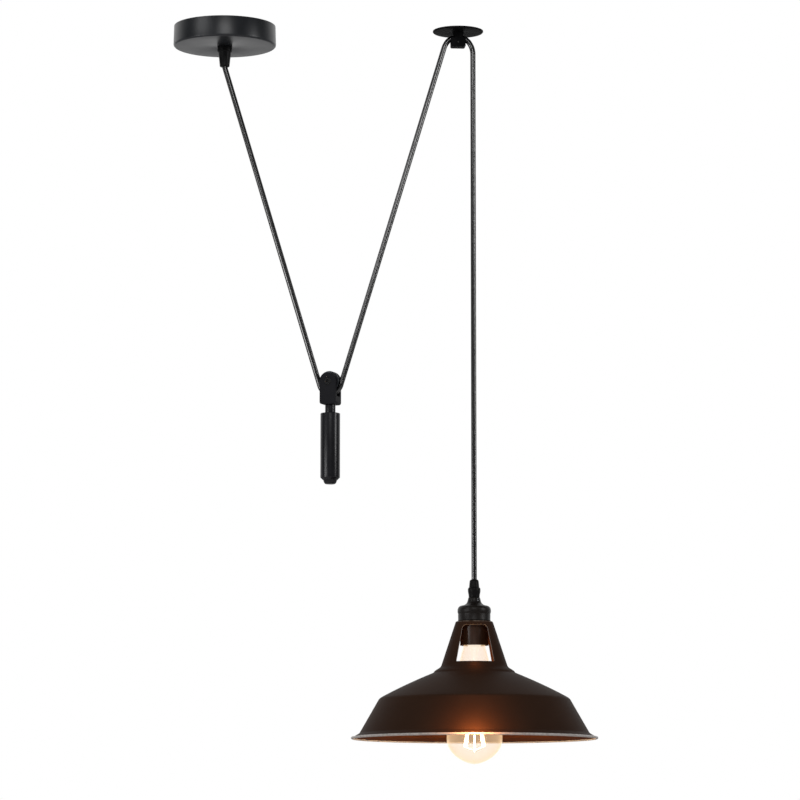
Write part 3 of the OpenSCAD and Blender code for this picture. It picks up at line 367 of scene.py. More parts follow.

# %% Edges of the shade: bare metal and a painted highlight


def edge_metal_and_highlight(name, colour, dull):
    """A thin band on a cut or rolled edge: worn metal, painted pale as a highlight, with duller
    flecks.
    """
    finish = Finish(name)
    place = finish.place()
    flecks = finish.noise(place, 420.0, 3.0)
    finish.set(
        Base_Color=finish.mix(flecks.step(0.4, 0.75), colour, dull),
        Metallic=0.35 * flecks.step(0.6, 0.2),
        Roughness=0.3 + 0.25 * flecks,
        Specular_IOR_Level=0.5,
    )
    return finish.bump(flecks, 0.01)


# Pale edge colours: bare metal, and a painted highlight where the edges catch the light.
cut_edge_metal_and_highlight = edge_metal_and_highlight("cut_edge_metal_and_highlight", srgb(104, 98, 94), srgb(80, 74, 70))
rolled_edge_metal_and_highlight = edge_metal_and_highlight("rolled_edge_metal_and_highlight", srgb(172, 165, 160), srgb(136, 128, 122))
print("bare edges:", cut_edge_metal_and_highlight.material.name, rolled_edge_metal_and_highlight.material.name)

# %% [markdown]
# ## Cord and plastics
#
# The cord's jacket is black and glossy enough to carry one bright line. The faint lengthwise
# marks that extrusion leaves change its gloss a little. They follow the piece's own UV map,
# where one direction goes round the cord and the other along it. The grips, the terminal
# block and the ceramic are moulded, so they share one recipe with a fine matt grain.

# %% The cord's jacket


def cord_jacket():
    """Black flexible jacket; its gloss changes round the cord and stays the same along it."""
    finish = Finish("cord_jacket")
    around, _, _ = finish.parts(finish.node("ShaderNodeUVMap", {"uv_map": "jacket"}))
    marks = finish.node(
        "ShaderNodeTexNoise", {"noise_dimensions": "1D"}, {"W": around * 9.0, "Scale": 4.0}
    )
    handled = finish.noise(finish.place(), 22.0, 2.0)
    finish.set(
        Base_Color=finish.mix(handled.step(0.35, 0.7), srgb(5, 5, 6), srgb(9, 9, 10)),
        Roughness=0.2 + 0.04 * handled + 0.03 * marks,
        Specular_IOR_Level=1.0,
    )
    return finish


jacket = cord_jacket()
print("jacket:", len(jacket.tree.nodes), "nodes")

# %% Moulded plastics and ceramic


def moulded(name, colour, light, roughness, specular):
    """Moulded plastic: a matt grain with slightly lighter, polished patches."""
    finish = Finish(name)
    place = finish.place()
    grain = finish.noise(place, 1900.0, 3.0)
    worn = finish.noise(place, 120.0, 3.0).step(0.55, 0.8)
    finish.set(
        Base_Color=finish.mix(worn, colour, light),
        Roughness=roughness + 0.1 * (grain - 0.5) - 0.12 * worn,
        Specular_IOR_Level=specular,
    )
    return finish.bump(grain, 0.02, 0.6)


grip_plastic = moulded("grip_plastic", srgb(13, 13, 14), srgb(20, 20, 21), 0.45, 0.12)
terminal_plastic = moulded("terminal_plastic", srgb(226, 222, 212), srgb(236, 233, 226), 0.45, 0.5)
ceramic = moulded("ceramic", srgb(222, 217, 205), srgb(234, 230, 220), 0.3, 0.6)
insulator = moulded("insulator", srgb(20, 20, 22), srgb(28, 28, 31), 0.15, 0.6)


def lead_plastic():
    """Conductors: the jacket's colour depends on which side of the pair a wire lies."""
    finish = Finish("lead_plastic")
    _, y, _ = finish.parts(finish.place())
    tint = finish.mix(y.step(0.0, 0.4 * MM), srgb(38, 84, 150), srgb(96, 64, 40))
    scuffs = finish.noise(finish.place(), 700.0, 3.0)
    finish.set(Base_Color=tint, Roughness=0.3 + 0.2 * scuffs)
    return finish.bump(scuffs, 0.01)


leads = lead_plastic()
print("moulded and wired:", len(bpy.data.materials) - frame_materials, "finishes so far")

# %% [markdown]
# ## Bare metals
#
# Screws, bushes and the lampholder's contacts are turned or plated and left unpainted. The
# tool leaves parallel rings, which a sine of the height gives, and the plating dulls in spots.
# Most of them are out of sight, but they show when the piece is taken apart.

# %% Metals


def turned(name, colour, dull, roughness, lines_per_mm=4.0):
    """Machined or plated metal: fine parallel tool marks and dull, slightly darker spots."""
    finish = Finish(name)
    place = finish.place()
    _, _, z = finish.parts(place)
    spots = finish.noise(place, 160.0, 4.0)
    marks = (z * (lines_per_mm / MM * 2 * math.pi) + 3.0 * spots).sine() * 0.5 + 0.5
    finish.set(
        Base_Color=finish.mix(spots.step(0.4, 0.75), colour, dull),
        Metallic=1.0,
        Roughness=roughness + 0.14 * spots,
    )
    return finish.bump(marks, 0.004, 0.5)


zinc = turned("zinc", srgb(196, 197, 198), srgb(160, 161, 163), 0.28)
dark_steel = turned("dark_steel", srgb(110, 112, 115), srgb(70, 71, 74), 0.3)
pulley_steel = turned("pulley_steel", srgb(74, 76, 80), srgb(52, 54, 58), 0.32)
brass = turned("brass", srgb(206, 170, 98), srgb(164, 128, 66), 0.25)
nickel = turned("nickel", srgb(200, 197, 188), srgb(160, 156, 146), 0.2)
print("finishes so far:", len(bpy.data.materials) - frame_materials)

# %% [markdown]
# ## Glass that glows
#
# The bulb is lit. Seen against white, its blown glass is an amber veil that thickens towards
# its outline, where the eye looks along the wall; the amber is painted glare, given off by the
# glass itself. Refracting glass would stop the light of the filaments from reaching the shade,
# so the veil is coverage instead: mostly clear in the middle, denser at the edge, by the angle at
# which the surface is seen.

# %% Glass


def clear_glass(name, warm, deep, deep_below, middle, edge):
    """Clear blown glass: cover grows from the middle's to the edge's with the square of how far
    the wall turns away. Its glow is painted glare: warm beside the filaments, and deep below them and
    at its edge."""
    finish = Finish(name)
    place = finish.place()
    _, _, z = finish.parts(place)
    ripples = finish.noise(place, 60.0, 2.0)
    facing = finish.node("ShaderNodeLayerWeight", values={"Blend": 0.35}, output="Facing")
    beside = z.step((deep_below - 8) * MM, (deep_below + 6) * MM)
    finish.set(
        Base_Color=finish.mix(ripples, srgb(14, 13, 11), srgb(22, 20, 17)),
        Roughness=0.06 + 0.06 * ripples,
        Alpha=(middle + (edge - middle) * facing ** 2.0 + 0.04 * (ripples - 0.5)).clamped(),
        # Painted glare: the glass gives off light of its own, warm beside the filaments and deeper
        # below them and at its edge.
        Emission_Color=finish.mix((1 - beside + 0.8 * facing).clamped(), warm, deep),
        Emission_Strength=1.0,
        Specular_IOR_Level=0.5,
    )
    return finish.bump(ripples, 0.02, 0.3)


filament_foot = foot_mm("filaments")
bulb_clear = clear_glass(
    "bulb_clear", (0.97, 0.66, 0.4), (0.94, 0.64, 0.34), filament_foot, middle=0.14, edge=0.5
)
# The stem's glass glows too, as painted glare.
stem_clear = clear_glass(
    "stem_clear", (1.0, 0.96, 0.86), (0.98, 0.84, 0.64), filament_foot, middle=0.6, edge=0.9
)
print(f"the filaments end at z {filament_foot:.1f} mm")

# %% [markdown]
# ## Filaments
#
# A lit filament dazzles a camera, and its light spreads over whatever is near. The eye then
# takes filaments, stem and support wires for one bright core. So the wires get a glow of
# their own, much weaker than the filaments', although real ones have none.

# %% Filaments and their wires


def glowing(name, core, edge, strength):
    """A bright wire with slightly cooler patches along it."""
    finish = Finish(name)
    heat = finish.noise(finish.place(), 400.0, 2.0)
    finish.set(
        Base_Color=(*core, 1.0),
        Emission_Color=finish.mix(heat.step(0.3, 0.8), core, edge),
        Emission_Strength=strength,
        Roughness=0.6,
    )
    return finish


hot_filament = glowing("hot_filament", (1.0, 0.8, 0.5), (1.0, 0.66, 0.32), 9.0)
hot_wire = glowing("hot_wire", (1.0, 0.86, 0.62), (1.0, 0.78, 0.5), 1.6)
print("finishes:", len(bpy.data.materials) - frame_materials)

# %% [markdown]
# ## Surfaces from two parameters
#
# Turned and spun pieces are a profile carried round an axis, and the cord is a circle
# carried along a path. Both are grids of points, so numpy works a whole piece out at once:
# one direction of the grid is the profile, the other is the angle.

# %% Curves in a plane


def arc(centre, radius, start, finish, steps=12):
    """Points on a circle: centre + radius (cos a, sin a), for a from start to finish degrees."""
    a = np.radians(np.linspace(start, finish, steps + 1))
    return np.asarray(centre, float) + radius * np.stack([np.cos(a), np.sin(a)], 1)


def bezier(p, q, r, s, steps=12):
    """The cubic p(1-t)^3 + 3q t(1-t)^2 + 3r t^2(1-t) + s t^3, for t from 0 to 1."""
    t = np.linspace(0, 1, steps + 1)[:, None]
    p, q, r, s = (np.asarray(v, float) for v in (p, q, r, s))
    return p * (1 - t) ** 3 + 3 * q * t * (1 - t) ** 2 + 3 * r * t**2 * (1 - t) + s * t**3


def unit(vector):
    """The vector over its length."""
    vector = np.asarray(vector, float)
    return vector / np.linalg.norm(vector)


def rounded(before, corner, after, radius, steps=8):
    """An arc of that radius that touches both sides of a corner, from before to after."""
    before, corner, after = (np.asarray(v, float) for v in (before, corner, after))
    u, v = unit(before - corner), unit(after - corner)
    half = math.acos(float(np.clip(u @ v, -1, 1))) / 2
    middle = corner + unit(u + v) * radius / math.sin(half)
    start = corner + u * radius / math.tan(half) - middle
    finish = corner + v * radius / math.tan(half) - middle
    a = math.degrees(math.atan2(start[1], start[0]))
    turn = (math.degrees(math.atan2(finish[1], finish[0])) - a + 180) % 360 - 180
    return arc(middle, radius, a, a + turn, steps)


quarter = arc([0, 0], 1, 0, 90, 2)
print("a quarter of a circle in two steps:", quarter.round(2).tolist())

# %% Softened corners and added points


def turn_between(first, second):
    """The angle between two directions, in degrees: the arc cosine of their product."""
    return math.degrees(math.acos(float(np.clip(unit(first) @ unit(second), -1, 1))))


def eased(outline, radius=0.25, sharpest=25, steps=3):
    """A closed outline whose corners sharper than that many degrees are rounded off."""
    outline = np.asarray(outline, float)
    made = []
    for before, corner, after in zip(np.roll(outline, 1, 0), outline, np.roll(outline, -1, 0)):
        short = min(np.linalg.norm(before - corner), np.linalg.norm(after - corner))
        if short < 1e-6:
            continue
        bend = turn_between(corner - before, after - corner)
        if bend < sharpest or corner[0] < 1e-6:
            made.append(corner[None])
            continue
        reach = min(radius * math.tan(math.radians(bend / 2)), short * 0.4)
        u, v = unit(before - corner) * reach, unit(after - corner) * reach
        made.append(bezier(corner + u, corner + u / 3, corner + v / 3, corner + v, steps))
    return np.concatenate(made)


def dense(line, longest):
    """The same line with points added so that no stretch is longer than that."""
    line = np.asarray(line, float)
    lengths = np.linalg.norm(np.diff(line, axis=0), axis=1)
    counts = np.maximum(np.ceil(lengths / longest), 1).astype(int)
    pieces = [np.linspace(a, b, n, endpoint=False) for a, b, n in zip(line, line[1:], counts)]
    return np.concatenate([*pieces, line[-1:]])


print("a line of 10 mm with no step over 3:", dense([[0, 0], [10, 0]], 3)[:, 0])

# %% Grids into meshes
same_point = 1e-7


def quads(rows, columns, close_rows=False, close_columns=False):
    """Four-sided faces that join neighbouring points of a grid, as an array of indices."""
    i, j = np.meshgrid(
        np.arange(rows if close_rows else rows - 1),
        np.arange(columns if close_columns else columns - 1),
        indexing="ij",
    )
    below, beside = (i + 1) % rows, (j + 1) % columns
    corners = [i * columns + j, i * columns + beside, below * columns + beside, below * columns + j]
    return np.stack(corners, -1)


def piece(name, points, faces, finishes, body, replaced=(), crease=35, closed=True):
    """A finished object: points in millimetres, merged, facing outwards, shaded smooth. A sheet
    that isn't closed keeps the faces as they are drawn."""
    mesh = bpy.data.meshes.new(name)
    points = np.asarray(points).reshape(-1, 3) * MM
    mesh.from_pydata(points.tolist(), [], faces.reshape(-1, 4).tolist())
    shape = bmesh.new()
    shape.from_mesh(mesh)
    bmesh.ops.remove_doubles(shape, verts=shape.verts, dist=same_point)
    if closed:
        bmesh.ops.recalc_face_normals(shape, faces=shape.faces)
    shape.to_mesh(mesh)
    shape.free()
    return dressed(bpy.data.objects.new(name, mesh), finishes, body, replaced, crease)


def dressed(obj, finishes, body, replaced=(), crease=35):
    """Links an object, gives it its finishes and lets it ride on a body."""
    bpy.context.scene.collection.objects.link(obj)
    obj.data.shade_smooth()
    obj.data.set_sharp_from_angle(angle=math.radians(crease))
    for finish in finishes if isinstance(finishes, (list, tuple)) else [finishes]:
        obj.data.materials.append(finish.material)
    if body:
        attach(obj, body)
    if replaced:
        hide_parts(*replaced)
    return obj


print("a grid of 3 by 4 points has", quads(3, 4)[..., 0].size, "faces")

# %% Round pieces
round_sides = 128


def revolved(name, outline, axis, finishes, body, replaced=(), sides=round_sides, crease=35):
    """A closed outline (radius, height) carried round an upright axis:
    x = axis x + radius cos a, y = radius sin a, z = height."""
    outline = np.asarray(outline, float)
    a = np.linspace(0, 2 * math.pi, sides, endpoint=False)
    radius, height = outline[:, 0, None], outline[:, 1, None]
    points = np.stack([axis + radius * np.cos(a), radius * np.sin(a), height + 0 * a], -1)
    faces = quads(len(outline), sides, close_rows=True, close_columns=True)
    made = piece(name, points, faces, finishes, body, replaced, crease)
    print(f"{name}: {len(made.data.polygons)} faces, radius up to {outline[:, 0].max():.1f} mm")
    return made


print("round pieces have", round_sides, "sides unless they are small or wide")

# %% [markdown]
# ## A frame piece, finished
#
# Small machined parts already have their true shape in the frame. Their meshes are loose
# triangles, so a copy is merged, its edges are broken by a narrow bevel as a deburring tool
# would leave them, and it takes a finish.

# %% Copies of frame pieces
touching = 2e-6
nearly_flat = 0.002


def machined(node, finishes, body, slot, bevel_mm=0.0, crease=32):
    """A merged copy of a frame piece, with its sharp edges broken."""
    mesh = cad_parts[node].data.copy()
    mesh.name = node + "_finished"
    mesh.materials.clear()
    shape = bmesh.new()
    shape.from_mesh(mesh)
    bmesh.ops.remove_doubles(shape, verts=shape.verts, dist=touching)
    bmesh.ops.dissolve_limit(shape, angle_limit=nearly_flat, verts=shape.verts, edges=shape.edges)
    shape.to_mesh(mesh)
    shape.free()
    obj = dressed(bpy.data.objects.new(node + "_finished", mesh), finishes, body, [node], crease)
    if bevel_mm:
        bevel = obj.modifiers.new("broken edges", "BEVEL")
        bevel.width = bevel_mm * MM
        bevel.segments = 2
        bevel.limit_method = "ANGLE"
        bevel.angle_limit = math.radians(crease)
    return obj


print("triangles in the yoke as it arrives:", len(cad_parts["yoke"].data.polygons))

# %% [markdown]
# ## The shade
#
# Sheet metal is spun over a former into one thin shell: a neck with two windows, a small
# bead at its foot, a shoulder, a lower cone and a brim with a rolled edge. The outline is a
# chain of straight, rounded and curved stretches. The windows are cut by letting the columns
# of the grid follow their edges: between two rows the columns crowd in or spread out so that
# one column always runs along the cut, and the faces inside it are left out.

# %% Outline of the shade, from the hole at its top
skirt_r = 15.5
holder_gap = 0.3
neck_top = np.array([20.2, 0])
neck_foot = np.array([36.2, -48.4])
neck_bend_r = 2.2
bead_edge = np.array([43.4, -54.4])
shoulder_start = np.array([45.2, -56.6])
knee = np.array([104.1, -84.4])
knee_r = 8
knee_lead = 3.6
roll_r = 1.35
brim_r = 133.8
brim_z = foot_mm("shade") - top_mm("shade") + roll_r
brim_root = np.array([126.0, brim_z + 5])
brim_root_bend_r = 2.4
brim_end = np.array([brim_r - 0.2 * roll_r, brim_z + 0.55 * roll_r])
shade_wall = 1.0
crown_mm = 0.9
cubic_lift = 1.34

slope = knee - shoulder_start
crown = unit([-slope[1], slope[0]]) * crown_mm * cubic_lift
shoulder_mid = (shoulder_start + knee) / 2
flange = np.array([[skirt_r + holder_gap, 0]])
neck_bend = rounded(flange[0], neck_top, neck_foot, neck_bend_r, 8)
below_neck = np.concatenate([
    neck_foot[None],
    bezier(neck_foot, neck_foot + [1.2, -3], bead_edge + [-3.4, 2.6], bead_edge, 10)[1:],
    bezier(bead_edge, bead_edge + [0.9, -0.8], shoulder_start + [-1, 0.9], shoulder_start, 6)[1:],
    bezier(
        shoulder_start,
        shoulder_start * 0.67 + knee * 0.33 + crown,
        shoulder_start * 0.33 + knee * 0.67 + crown,
        knee + unit(shoulder_mid - knee) * knee_lead + crown * 0.12,
        24,
    )[1:],
    rounded(shoulder_mid, knee, brim_root, knee_r, 12),
    rounded(knee, brim_root, brim_end, brim_root_bend_r, 8),
    brim_end[None],
])
print(f"shade: radius {brim_r + roll_r:.1f} mm, height {-brim_z + roll_r:.1f} mm")

# %% Windows: half their width at each height
window_top, window_foot = -4.6, -45.2
window_top_w, window_foot_w = 27.0, 42.0
corner_r = 5.0
foot_corner_r = 0.8
column_share = 30.0
settle_mm = 40
row_gap = 2.0
lower_row_gap = 3.0

top_corner = np.array([window_top_w / 2, window_top])
foot_corner = np.array([window_foot_w / 2, window_foot])
window_edge = np.concatenate([
    rounded([0, window_top], top_corner, foot_corner, corner_r, 12),
    rounded(top_corner, foot_corner, [0, window_foot], foot_corner_r, 4),
])
window_edge = dense(window_edge, row_gap)


def neck_radius(height):
    """The neck is a straight cone, so its radius is linear in height."""
    share = (height - neck_top[1]) / (neck_foot[1] - neck_top[1])
    return neck_top[0] + share * (neck_foot[0] - neck_top[0])


def half_angle(half_width, radius):
    """The angle that half a window's width spans at that radius, in degrees."""
    return np.degrees(np.arcsin(half_width / radius))


window_radius = neck_radius(window_edge[:, 1])
window_angles = half_angle(window_edge[:, 0], window_radius)
window_rows = np.column_stack([window_radius, window_edge[:, 1], window_angles])
above = dense(np.concatenate([flange, neck_bend, [[window_radius[0], window_top]]]), row_gap)[:-1]
below = dense(np.concatenate([[[window_radius[-1], window_foot]], below_neck]), lower_row_gap)[1:]
above_angles = np.linspace(column_share, window_angles[0], len(above) + 1)[:-1]
ease_off = np.clip((window_foot - below[:, 1]) / settle_mm, 0, 1)
below_angles = window_angles[-1] + (column_share - window_angles[-1]) * ease_off
shade_rows = np.concatenate([
    np.column_stack([above, above_angles]),
    window_rows,
    np.column_stack([below, below_angles]),
])
print(f"shade grid: {len(shade_rows)} rows")

# %% [markdown]
# ### From rows to a shell
#
# Each row of the grid is a circle round the lamp's axis. On the real shade the windows are
# cut out of the sheet; here their faces are simply never made. The shell has no thickness
# yet. A Solidify modifier gives it the sheet's, inwards, so the faces have to look outwards
# first, and the last line measures how many do.

# %% The shell
shade_turn = -4.2
per_window, per_side = 40, 76
spans = [
    np.linspace(a, b, n, endpoint=False)
    for a, b, n in (
        (-column_share, column_share, per_window),
        (column_share, 180 - column_share, per_side),
        (180 - column_share, 180 + column_share, per_window),
        (180 + column_share, 360 - column_share, per_side),
    )
]
columns = np.concatenate(spans)
nearest = np.round(columns / 180) * 180
offset = columns - nearest
window_angle = shade_rows[:, 2, None]
within = offset * window_angle / column_share
spread = (np.abs(offset) - column_share) * (90 - window_angle) / (90 - column_share)
beyond = np.sign(offset) * (window_angle + spread)
crowded = np.where(np.abs(offset) <= column_share, within, beyond)
angle = np.radians(nearest + crowded - 90 + shade_turn)
radius = shade_rows[:, 0, None]
shell = np.stack([
    lamp_x + radius * np.cos(angle),
    radius * np.sin(angle),
    shade_top + shade_rows[:, 1, None] + 0 * angle,
], -1)
faces = quads(len(shade_rows), len(columns), close_columns=True)
in_rows = np.zeros(len(shade_rows) - 1, bool)
in_rows[len(above): len(above) + len(window_rows) - 1] = True
middle = (np.arange(len(columns)) + 0.5) % (per_window + per_side)
cut_out = in_rows[:, None] & (middle < per_window)[None, :]
shade = piece(
    "shade_spun", shell, faces[~cut_out][:, ::-1], [shade_outside, shade_inside, cut_edge_metal_and_highlight], "lamp",
    ["shade"], crease=60, closed=False,
)
wall = shade.modifiers.new("sheet", "SOLIDIFY")
wall.thickness = shade_wall * MM
wall.offset = -1
wall.use_even_offset = True
wall.material_offset = 1
wall.material_offset_rim = 2

centres, normals = np.zeros((2, len(shade.data.polygons) * 3))
shade.data.polygons.foreach_get("center", centres)
shade.data.polygons.foreach_get("normal", normals)
from_axis = centres.reshape(-1, 3) - [lamp_x * MM, 0, (shade_top + brim_z) * MM]
outward = ((from_axis * normals.reshape(-1, 3)).sum(1) > 0).mean()
print(f"shade: {len(shade.data.polygons)} faces before its wall, {outward:.0%} of them face outwards")

# %% The rolled edge
roll = arc([brim_r, shade_top + brim_z], roll_r, 0, 360, 24)[:-1]
revolved("shade_rolled_edge", roll, lamp_x, rolled_edge_metal_and_highlight, "lamp", sides=256)

# %% [markdown]
# ## Cap, grip and lampholder
#
# The cap over the lampholder is turned metal under dark lacquer: a narrow collar, a swept
# flare, a dome with a fat bead, and a band. The cord grip above it is moulded in two steps,
# and the skirt below it goes through the shade. Each is one closed outline, carried round.

# %% Cap over the lampholder
cap_top, cap_foot = top_mm("holder_cap"), foot_mm("holder_cap")
cap_collar_r = 6.25
cap_bead_r = 18.35
cap_band_r = 17.7
cap_bead_z = cap_foot + 11.2
cap_inner_r = 16.5
cap_bore_r = 4.2
cap_outline = np.concatenate([
    [[cap_bore_r, cap_top], [cap_collar_r, cap_top]],
    bezier(
        [cap_collar_r + 0.5, cap_top - 1.2], [cap_collar_r + 1.1, cap_top - 5.6],
        [cap_collar_r + 2.2, cap_top - 7.6], [cap_collar_r + 6.4, cap_top - 8.8], 16,
    ),
    bezier(
        [cap_collar_r + 7.6, cap_top - 9], [cap_bead_r - 1.8, cap_top - 9.4],
        [cap_bead_r, cap_bead_z + 3.6], [cap_bead_r, cap_bead_z], 18,
    ),
    bezier(
        [cap_bead_r - 0.05, cap_bead_z - 1], [cap_bead_r - 0.1, cap_bead_z - 2.4],
        [cap_band_r, cap_bead_z - 2.6], [cap_band_r, cap_bead_z - 3.6], 10,
    ),
    [[cap_band_r + 0.1, cap_bead_z - 4.4], [cap_band_r, cap_foot + 1.4]],
    [[cap_band_r + 0.3, cap_foot + 0.7], [cap_band_r, cap_foot]],
    [[cap_inner_r, cap_foot], [cap_inner_r, cap_bead_z + 0.6]],
    [[cap_collar_r + 5, cap_top - 10.4], [cap_bore_r, cap_top - 10.4]],
])
revolved("holder_cap_turned", eased(cap_outline, 0.3), lamp_x, holder_lacquer, "lamp",
         ["holder_cap"])

# %% Cord grip on the lamp
grip_bore_r = 3.15
grip_foot = lamp_top - 19.4
sleeve_foot = lamp_top - 8.8
grip_outline = np.concatenate([
    [[grip_bore_r, lamp_top - 0.4], [3.55, lamp_top], [3.8, lamp_top]],
    [[4.4, lamp_top - 0.6], [5.0, lamp_top - 1.8], [5.6, sleeve_foot + 0.4]],
    bezier([5.9, sleeve_foot], [6.85, sleeve_foot - 0.5],
           [6.95, sleeve_foot - 1.6], [6.95, sleeve_foot - 2.8], 10),
    bezier([6.9, sleeve_foot - 4], [6.65, sleeve_foot - 6],
           [6.05, grip_foot + 3], [6.05, grip_foot], 10),
    [[cap_bore_r, grip_foot], [cap_bore_r, grip_foot - 9], [grip_bore_r, grip_foot - 9]],
])
revolved("lamp_grip_moulded", eased(grip_outline, 0.3), lamp_x, grip_plastic, "lamp",
         ["lamp_grip"], sides=96)

# %% Skirt of the lampholder
skirt_foot = foot_mm("holder_skirt")
skirt_inner_r = 14.2
skirt_outline = [
    [skirt_inner_r, cap_foot + 11], [cap_inner_r, cap_foot + 11], [cap_inner_r, cap_foot + 1.2],
    [skirt_r, cap_foot + 0.2], [skirt_r, skirt_foot + 0.9],
    [skirt_r + 0.35, skirt_foot + 0.5], [skirt_r, skirt_foot], [skirt_inner_r, skirt_foot],
]
revolved("holder_skirt_turned", eased(skirt_outline, 0.25), lamp_x, skirt_lacquer, "lamp",
         ["holder_skirt"])

# %% [markdown]
# ## The bulb
#
# A teardrop is blown, not turned: from a narrow neck it swells without any straight
# stretch, and closes in a slightly pointed end. Two curves give the outline, and the wall
# is the same outline drawn in along its normals.

# %% Blown glass
glass_foot = foot_mm("bulb_glass")
glass_neck = top_mm("bulb_glass") - 4
glass_l = glass_neck - glass_foot
bulb_r = 30.5
glass_neck_r = 11.4
glass_flare = 7.8
glass_flange_r = 11.7
widest = glass_foot + glass_l * 0.205
glass_outer = np.concatenate([
    [[glass_flange_r, glass_neck + 4], [glass_flange_r, glass_neck + 2]],
    bezier([glass_neck_r, glass_neck], [glass_neck_r + glass_flare, glass_neck - glass_l * 0.24],
           [bulb_r, widest + glass_l * 0.28], [bulb_r, widest], 40),
    bezier([bulb_r, widest], [bulb_r, widest - glass_l * 0.1],
           [bulb_r * 0.52, glass_foot + 1.4], [0, glass_foot], 28)[1:],
])


def drawn_in(line, thickness):
    """The line moved along its right-hand normals, which are (dz, -dr) over its length, so that
    an outline drawn downwards moves towards the axis. No point crosses the axis."""
    ahead = np.gradient(line, axis=0)
    normal = np.stack([ahead[:, 1], -ahead[:, 0]], 1)
    moved = line + thickness * normal / np.linalg.norm(normal, axis=1, keepdims=True)
    moved[-1] = [0, line[-1, 1] + thickness]
    return np.maximum(moved, [[0, -np.inf]])


glass_wall = 0.9
glass_outline = np.concatenate([glass_outer, drawn_in(glass_outer, glass_wall)[::-1]])
revolved("bulb_glass_blown", glass_outline, lamp_x, bulb_clear, "lamp",
         ["bulb_glass"], crease=60)

# %% [markdown]
# ## Ceiling rose and guide plate
#
# The rose is a cup pressed from sheet, with a soft lower edge, and the cord leaves it through
# a moulded grip. The plate over the guide is a plain disc with a turned edge. All three are
# outlines carried round an upright axis.

# %% Rose
rose_r = 56.4
rose_h = 23.0
rose_wall = 1.2
rose_lip = 0.6
rose_bend_r = 2.4
rose_bend_at = [rose_r - rose_bend_r + rose_lip, -rose_h + rose_bend_r]
rose_hole_r = 5.2
rose_outline = np.concatenate([
    [[rose_r, 0]],
    arc(rose_bend_at, rose_bend_r, 0, -90, 14),
    [[rose_hole_r, -rose_h], [rose_hole_r, -rose_h + rose_wall]],
    arc(rose_bend_at, rose_bend_r - rose_wall, -90, 0, 8),
    [[rose_r - rose_wall, 0]],
])
revolved("rose_cup_pressed", eased(rose_outline, 0.3), 0, rose_enamel, "ceiling", ["rose_cup"],
         sides=192)

# %% Grip of the rose
collar_r = 8.2
collar_foot = -rose_h - 6.4
nose_r = 5.5
nose_round = 1.2
rose_grip_outline = np.concatenate([
    [[grip_bore_r, -rose_h + 8], [5, -rose_h + 8], [5, -rose_h], [collar_r, -rose_h]],
    [[collar_r, collar_foot + 0.8], [collar_r - 0.8, collar_foot], [7, collar_foot]],
    arc([nose_r - nose_round, rose_exit_z + nose_round], nose_round, 12, -90, 8),
    [[3.75, rose_exit_z], [grip_bore_r, rose_exit_z + 0.8]],
])
revolved("rose_grip_moulded", eased(rose_grip_outline, 0.3), 0, grip_plastic, "ceiling",
         ["rose_grip"], sides=96)

# %% Guide plate
plate_r = 28.15
plate_hole_r = 2.5
plate_h = 1.8
plate_chamfer = 0.7
plate_outline = [
    [plate_hole_r, 0], [plate_r, 0], [plate_r, plate_chamfer - plate_h],
    [plate_r - plate_chamfer, -plate_h], [plate_hole_r, -plate_h],
]
revolved("guide_plate_turned", eased(plate_outline, 0.2), guide_x, guide_enamel, "ceiling",
         ["guide_plate"], sides=160)

# %% [markdown]
# ## The weight
#
# The weight is one solid bar, turned to a chamfer at its foot. A stem above it carries the
# forked yoke, and a small domed cap closes it below. Stem and cap have studs that screw into
# the bar and the yoke, so each outline goes inwards where its neighbour's stud sits.

# %% Weight bar
bar_top = top_mm("weight_bar")
bar_foot = foot_mm("weight_bar")
bar_r = 10.85
bar_edge = 0.6
bar_chamfer = 2.8
stud_r = 4
cap_stud_r = 3
bar_outline = [
    [0, bar_top - 7.3], [stud_r, bar_top - 7.3], [stud_r, bar_top], [bar_r - bar_edge, bar_top],
    [bar_r, bar_top - bar_edge], [bar_r, bar_foot + bar_chamfer], [bar_r - bar_chamfer, bar_foot],
    [cap_stud_r, bar_foot], [cap_stud_r, bar_foot + 6], [0, bar_foot + 6],
]
revolved("weight_bar_turned", eased(bar_outline, 0.35), weight_x, weight_enamel, "counterweight",
         ["weight_bar"], sides=112)

# %% Stem and end cap
yoke_foot = foot_mm("yoke")
stem_r = 5.75
stem_edge = 0.5
stem_outline = [
    [0, bar_top - 7], [stud_r, bar_top - 7], [stud_r, bar_top], [stem_r - stem_edge, bar_top],
    [stem_r, bar_top + stem_edge], [stem_r, yoke_foot - stem_edge], [stem_r - stem_edge, yoke_foot],
    [stud_r, yoke_foot], [stud_r, yoke_foot + 6.7], [0, yoke_foot + 6.7],
]
revolved("weight_stem_turned", eased(stem_outline, 0.2), weight_x, weight_enamel, "counterweight",
         ["weight_stem"], sides=72)
end_h = 4.6
end_outline = np.concatenate([
    [[0, bar_foot + 5.7], [cap_stud_r, bar_foot + 5.7], [cap_stud_r, bar_foot], [7.8, bar_foot]],
    bezier([7.5, bar_foot - 0.6], [6.8, bar_foot - end_h * 0.75], [5.8, bar_foot - end_h],
           [3.4, bar_foot - end_h], 12),
    [[0, bar_foot - end_h]],
])
revolved("weight_end_cap_turned", eased(end_outline, 0.15), weight_x, weight_enamel, "counterweight",
         ["weight_end_cap"], sides=72)

# %% [markdown]
# ## The cord
#
# The cord is one length of round cable, drawn as five stretches. The two bends ride on the
# bodies that hold them. Straight stretches have a ring of points at each end and none between,
# and stay where they are drawn.
# The two bends are circles carried along arcs, and they meet the runs at the points where a
# straight line touches the arc.

# %% The bend over the guide
cord_r = 3.0
guide_reach = 16.7
guide_bend_r = 12.0
guide_flat = 5.0
guide_turn = math.radians(51)
guide_cord_z = -7.9
guide_left_x, guide_right_x = guide_x - guide_flat / 2, guide_x + guide_flat / 2
drop_x = guide_x + guide_reach
sweep_out = guide_reach - guide_flat / 2 - guide_bend_r * math.sin(guide_turn)
guide_sweep_r = sweep_out / (1 - math.sin(guide_turn))


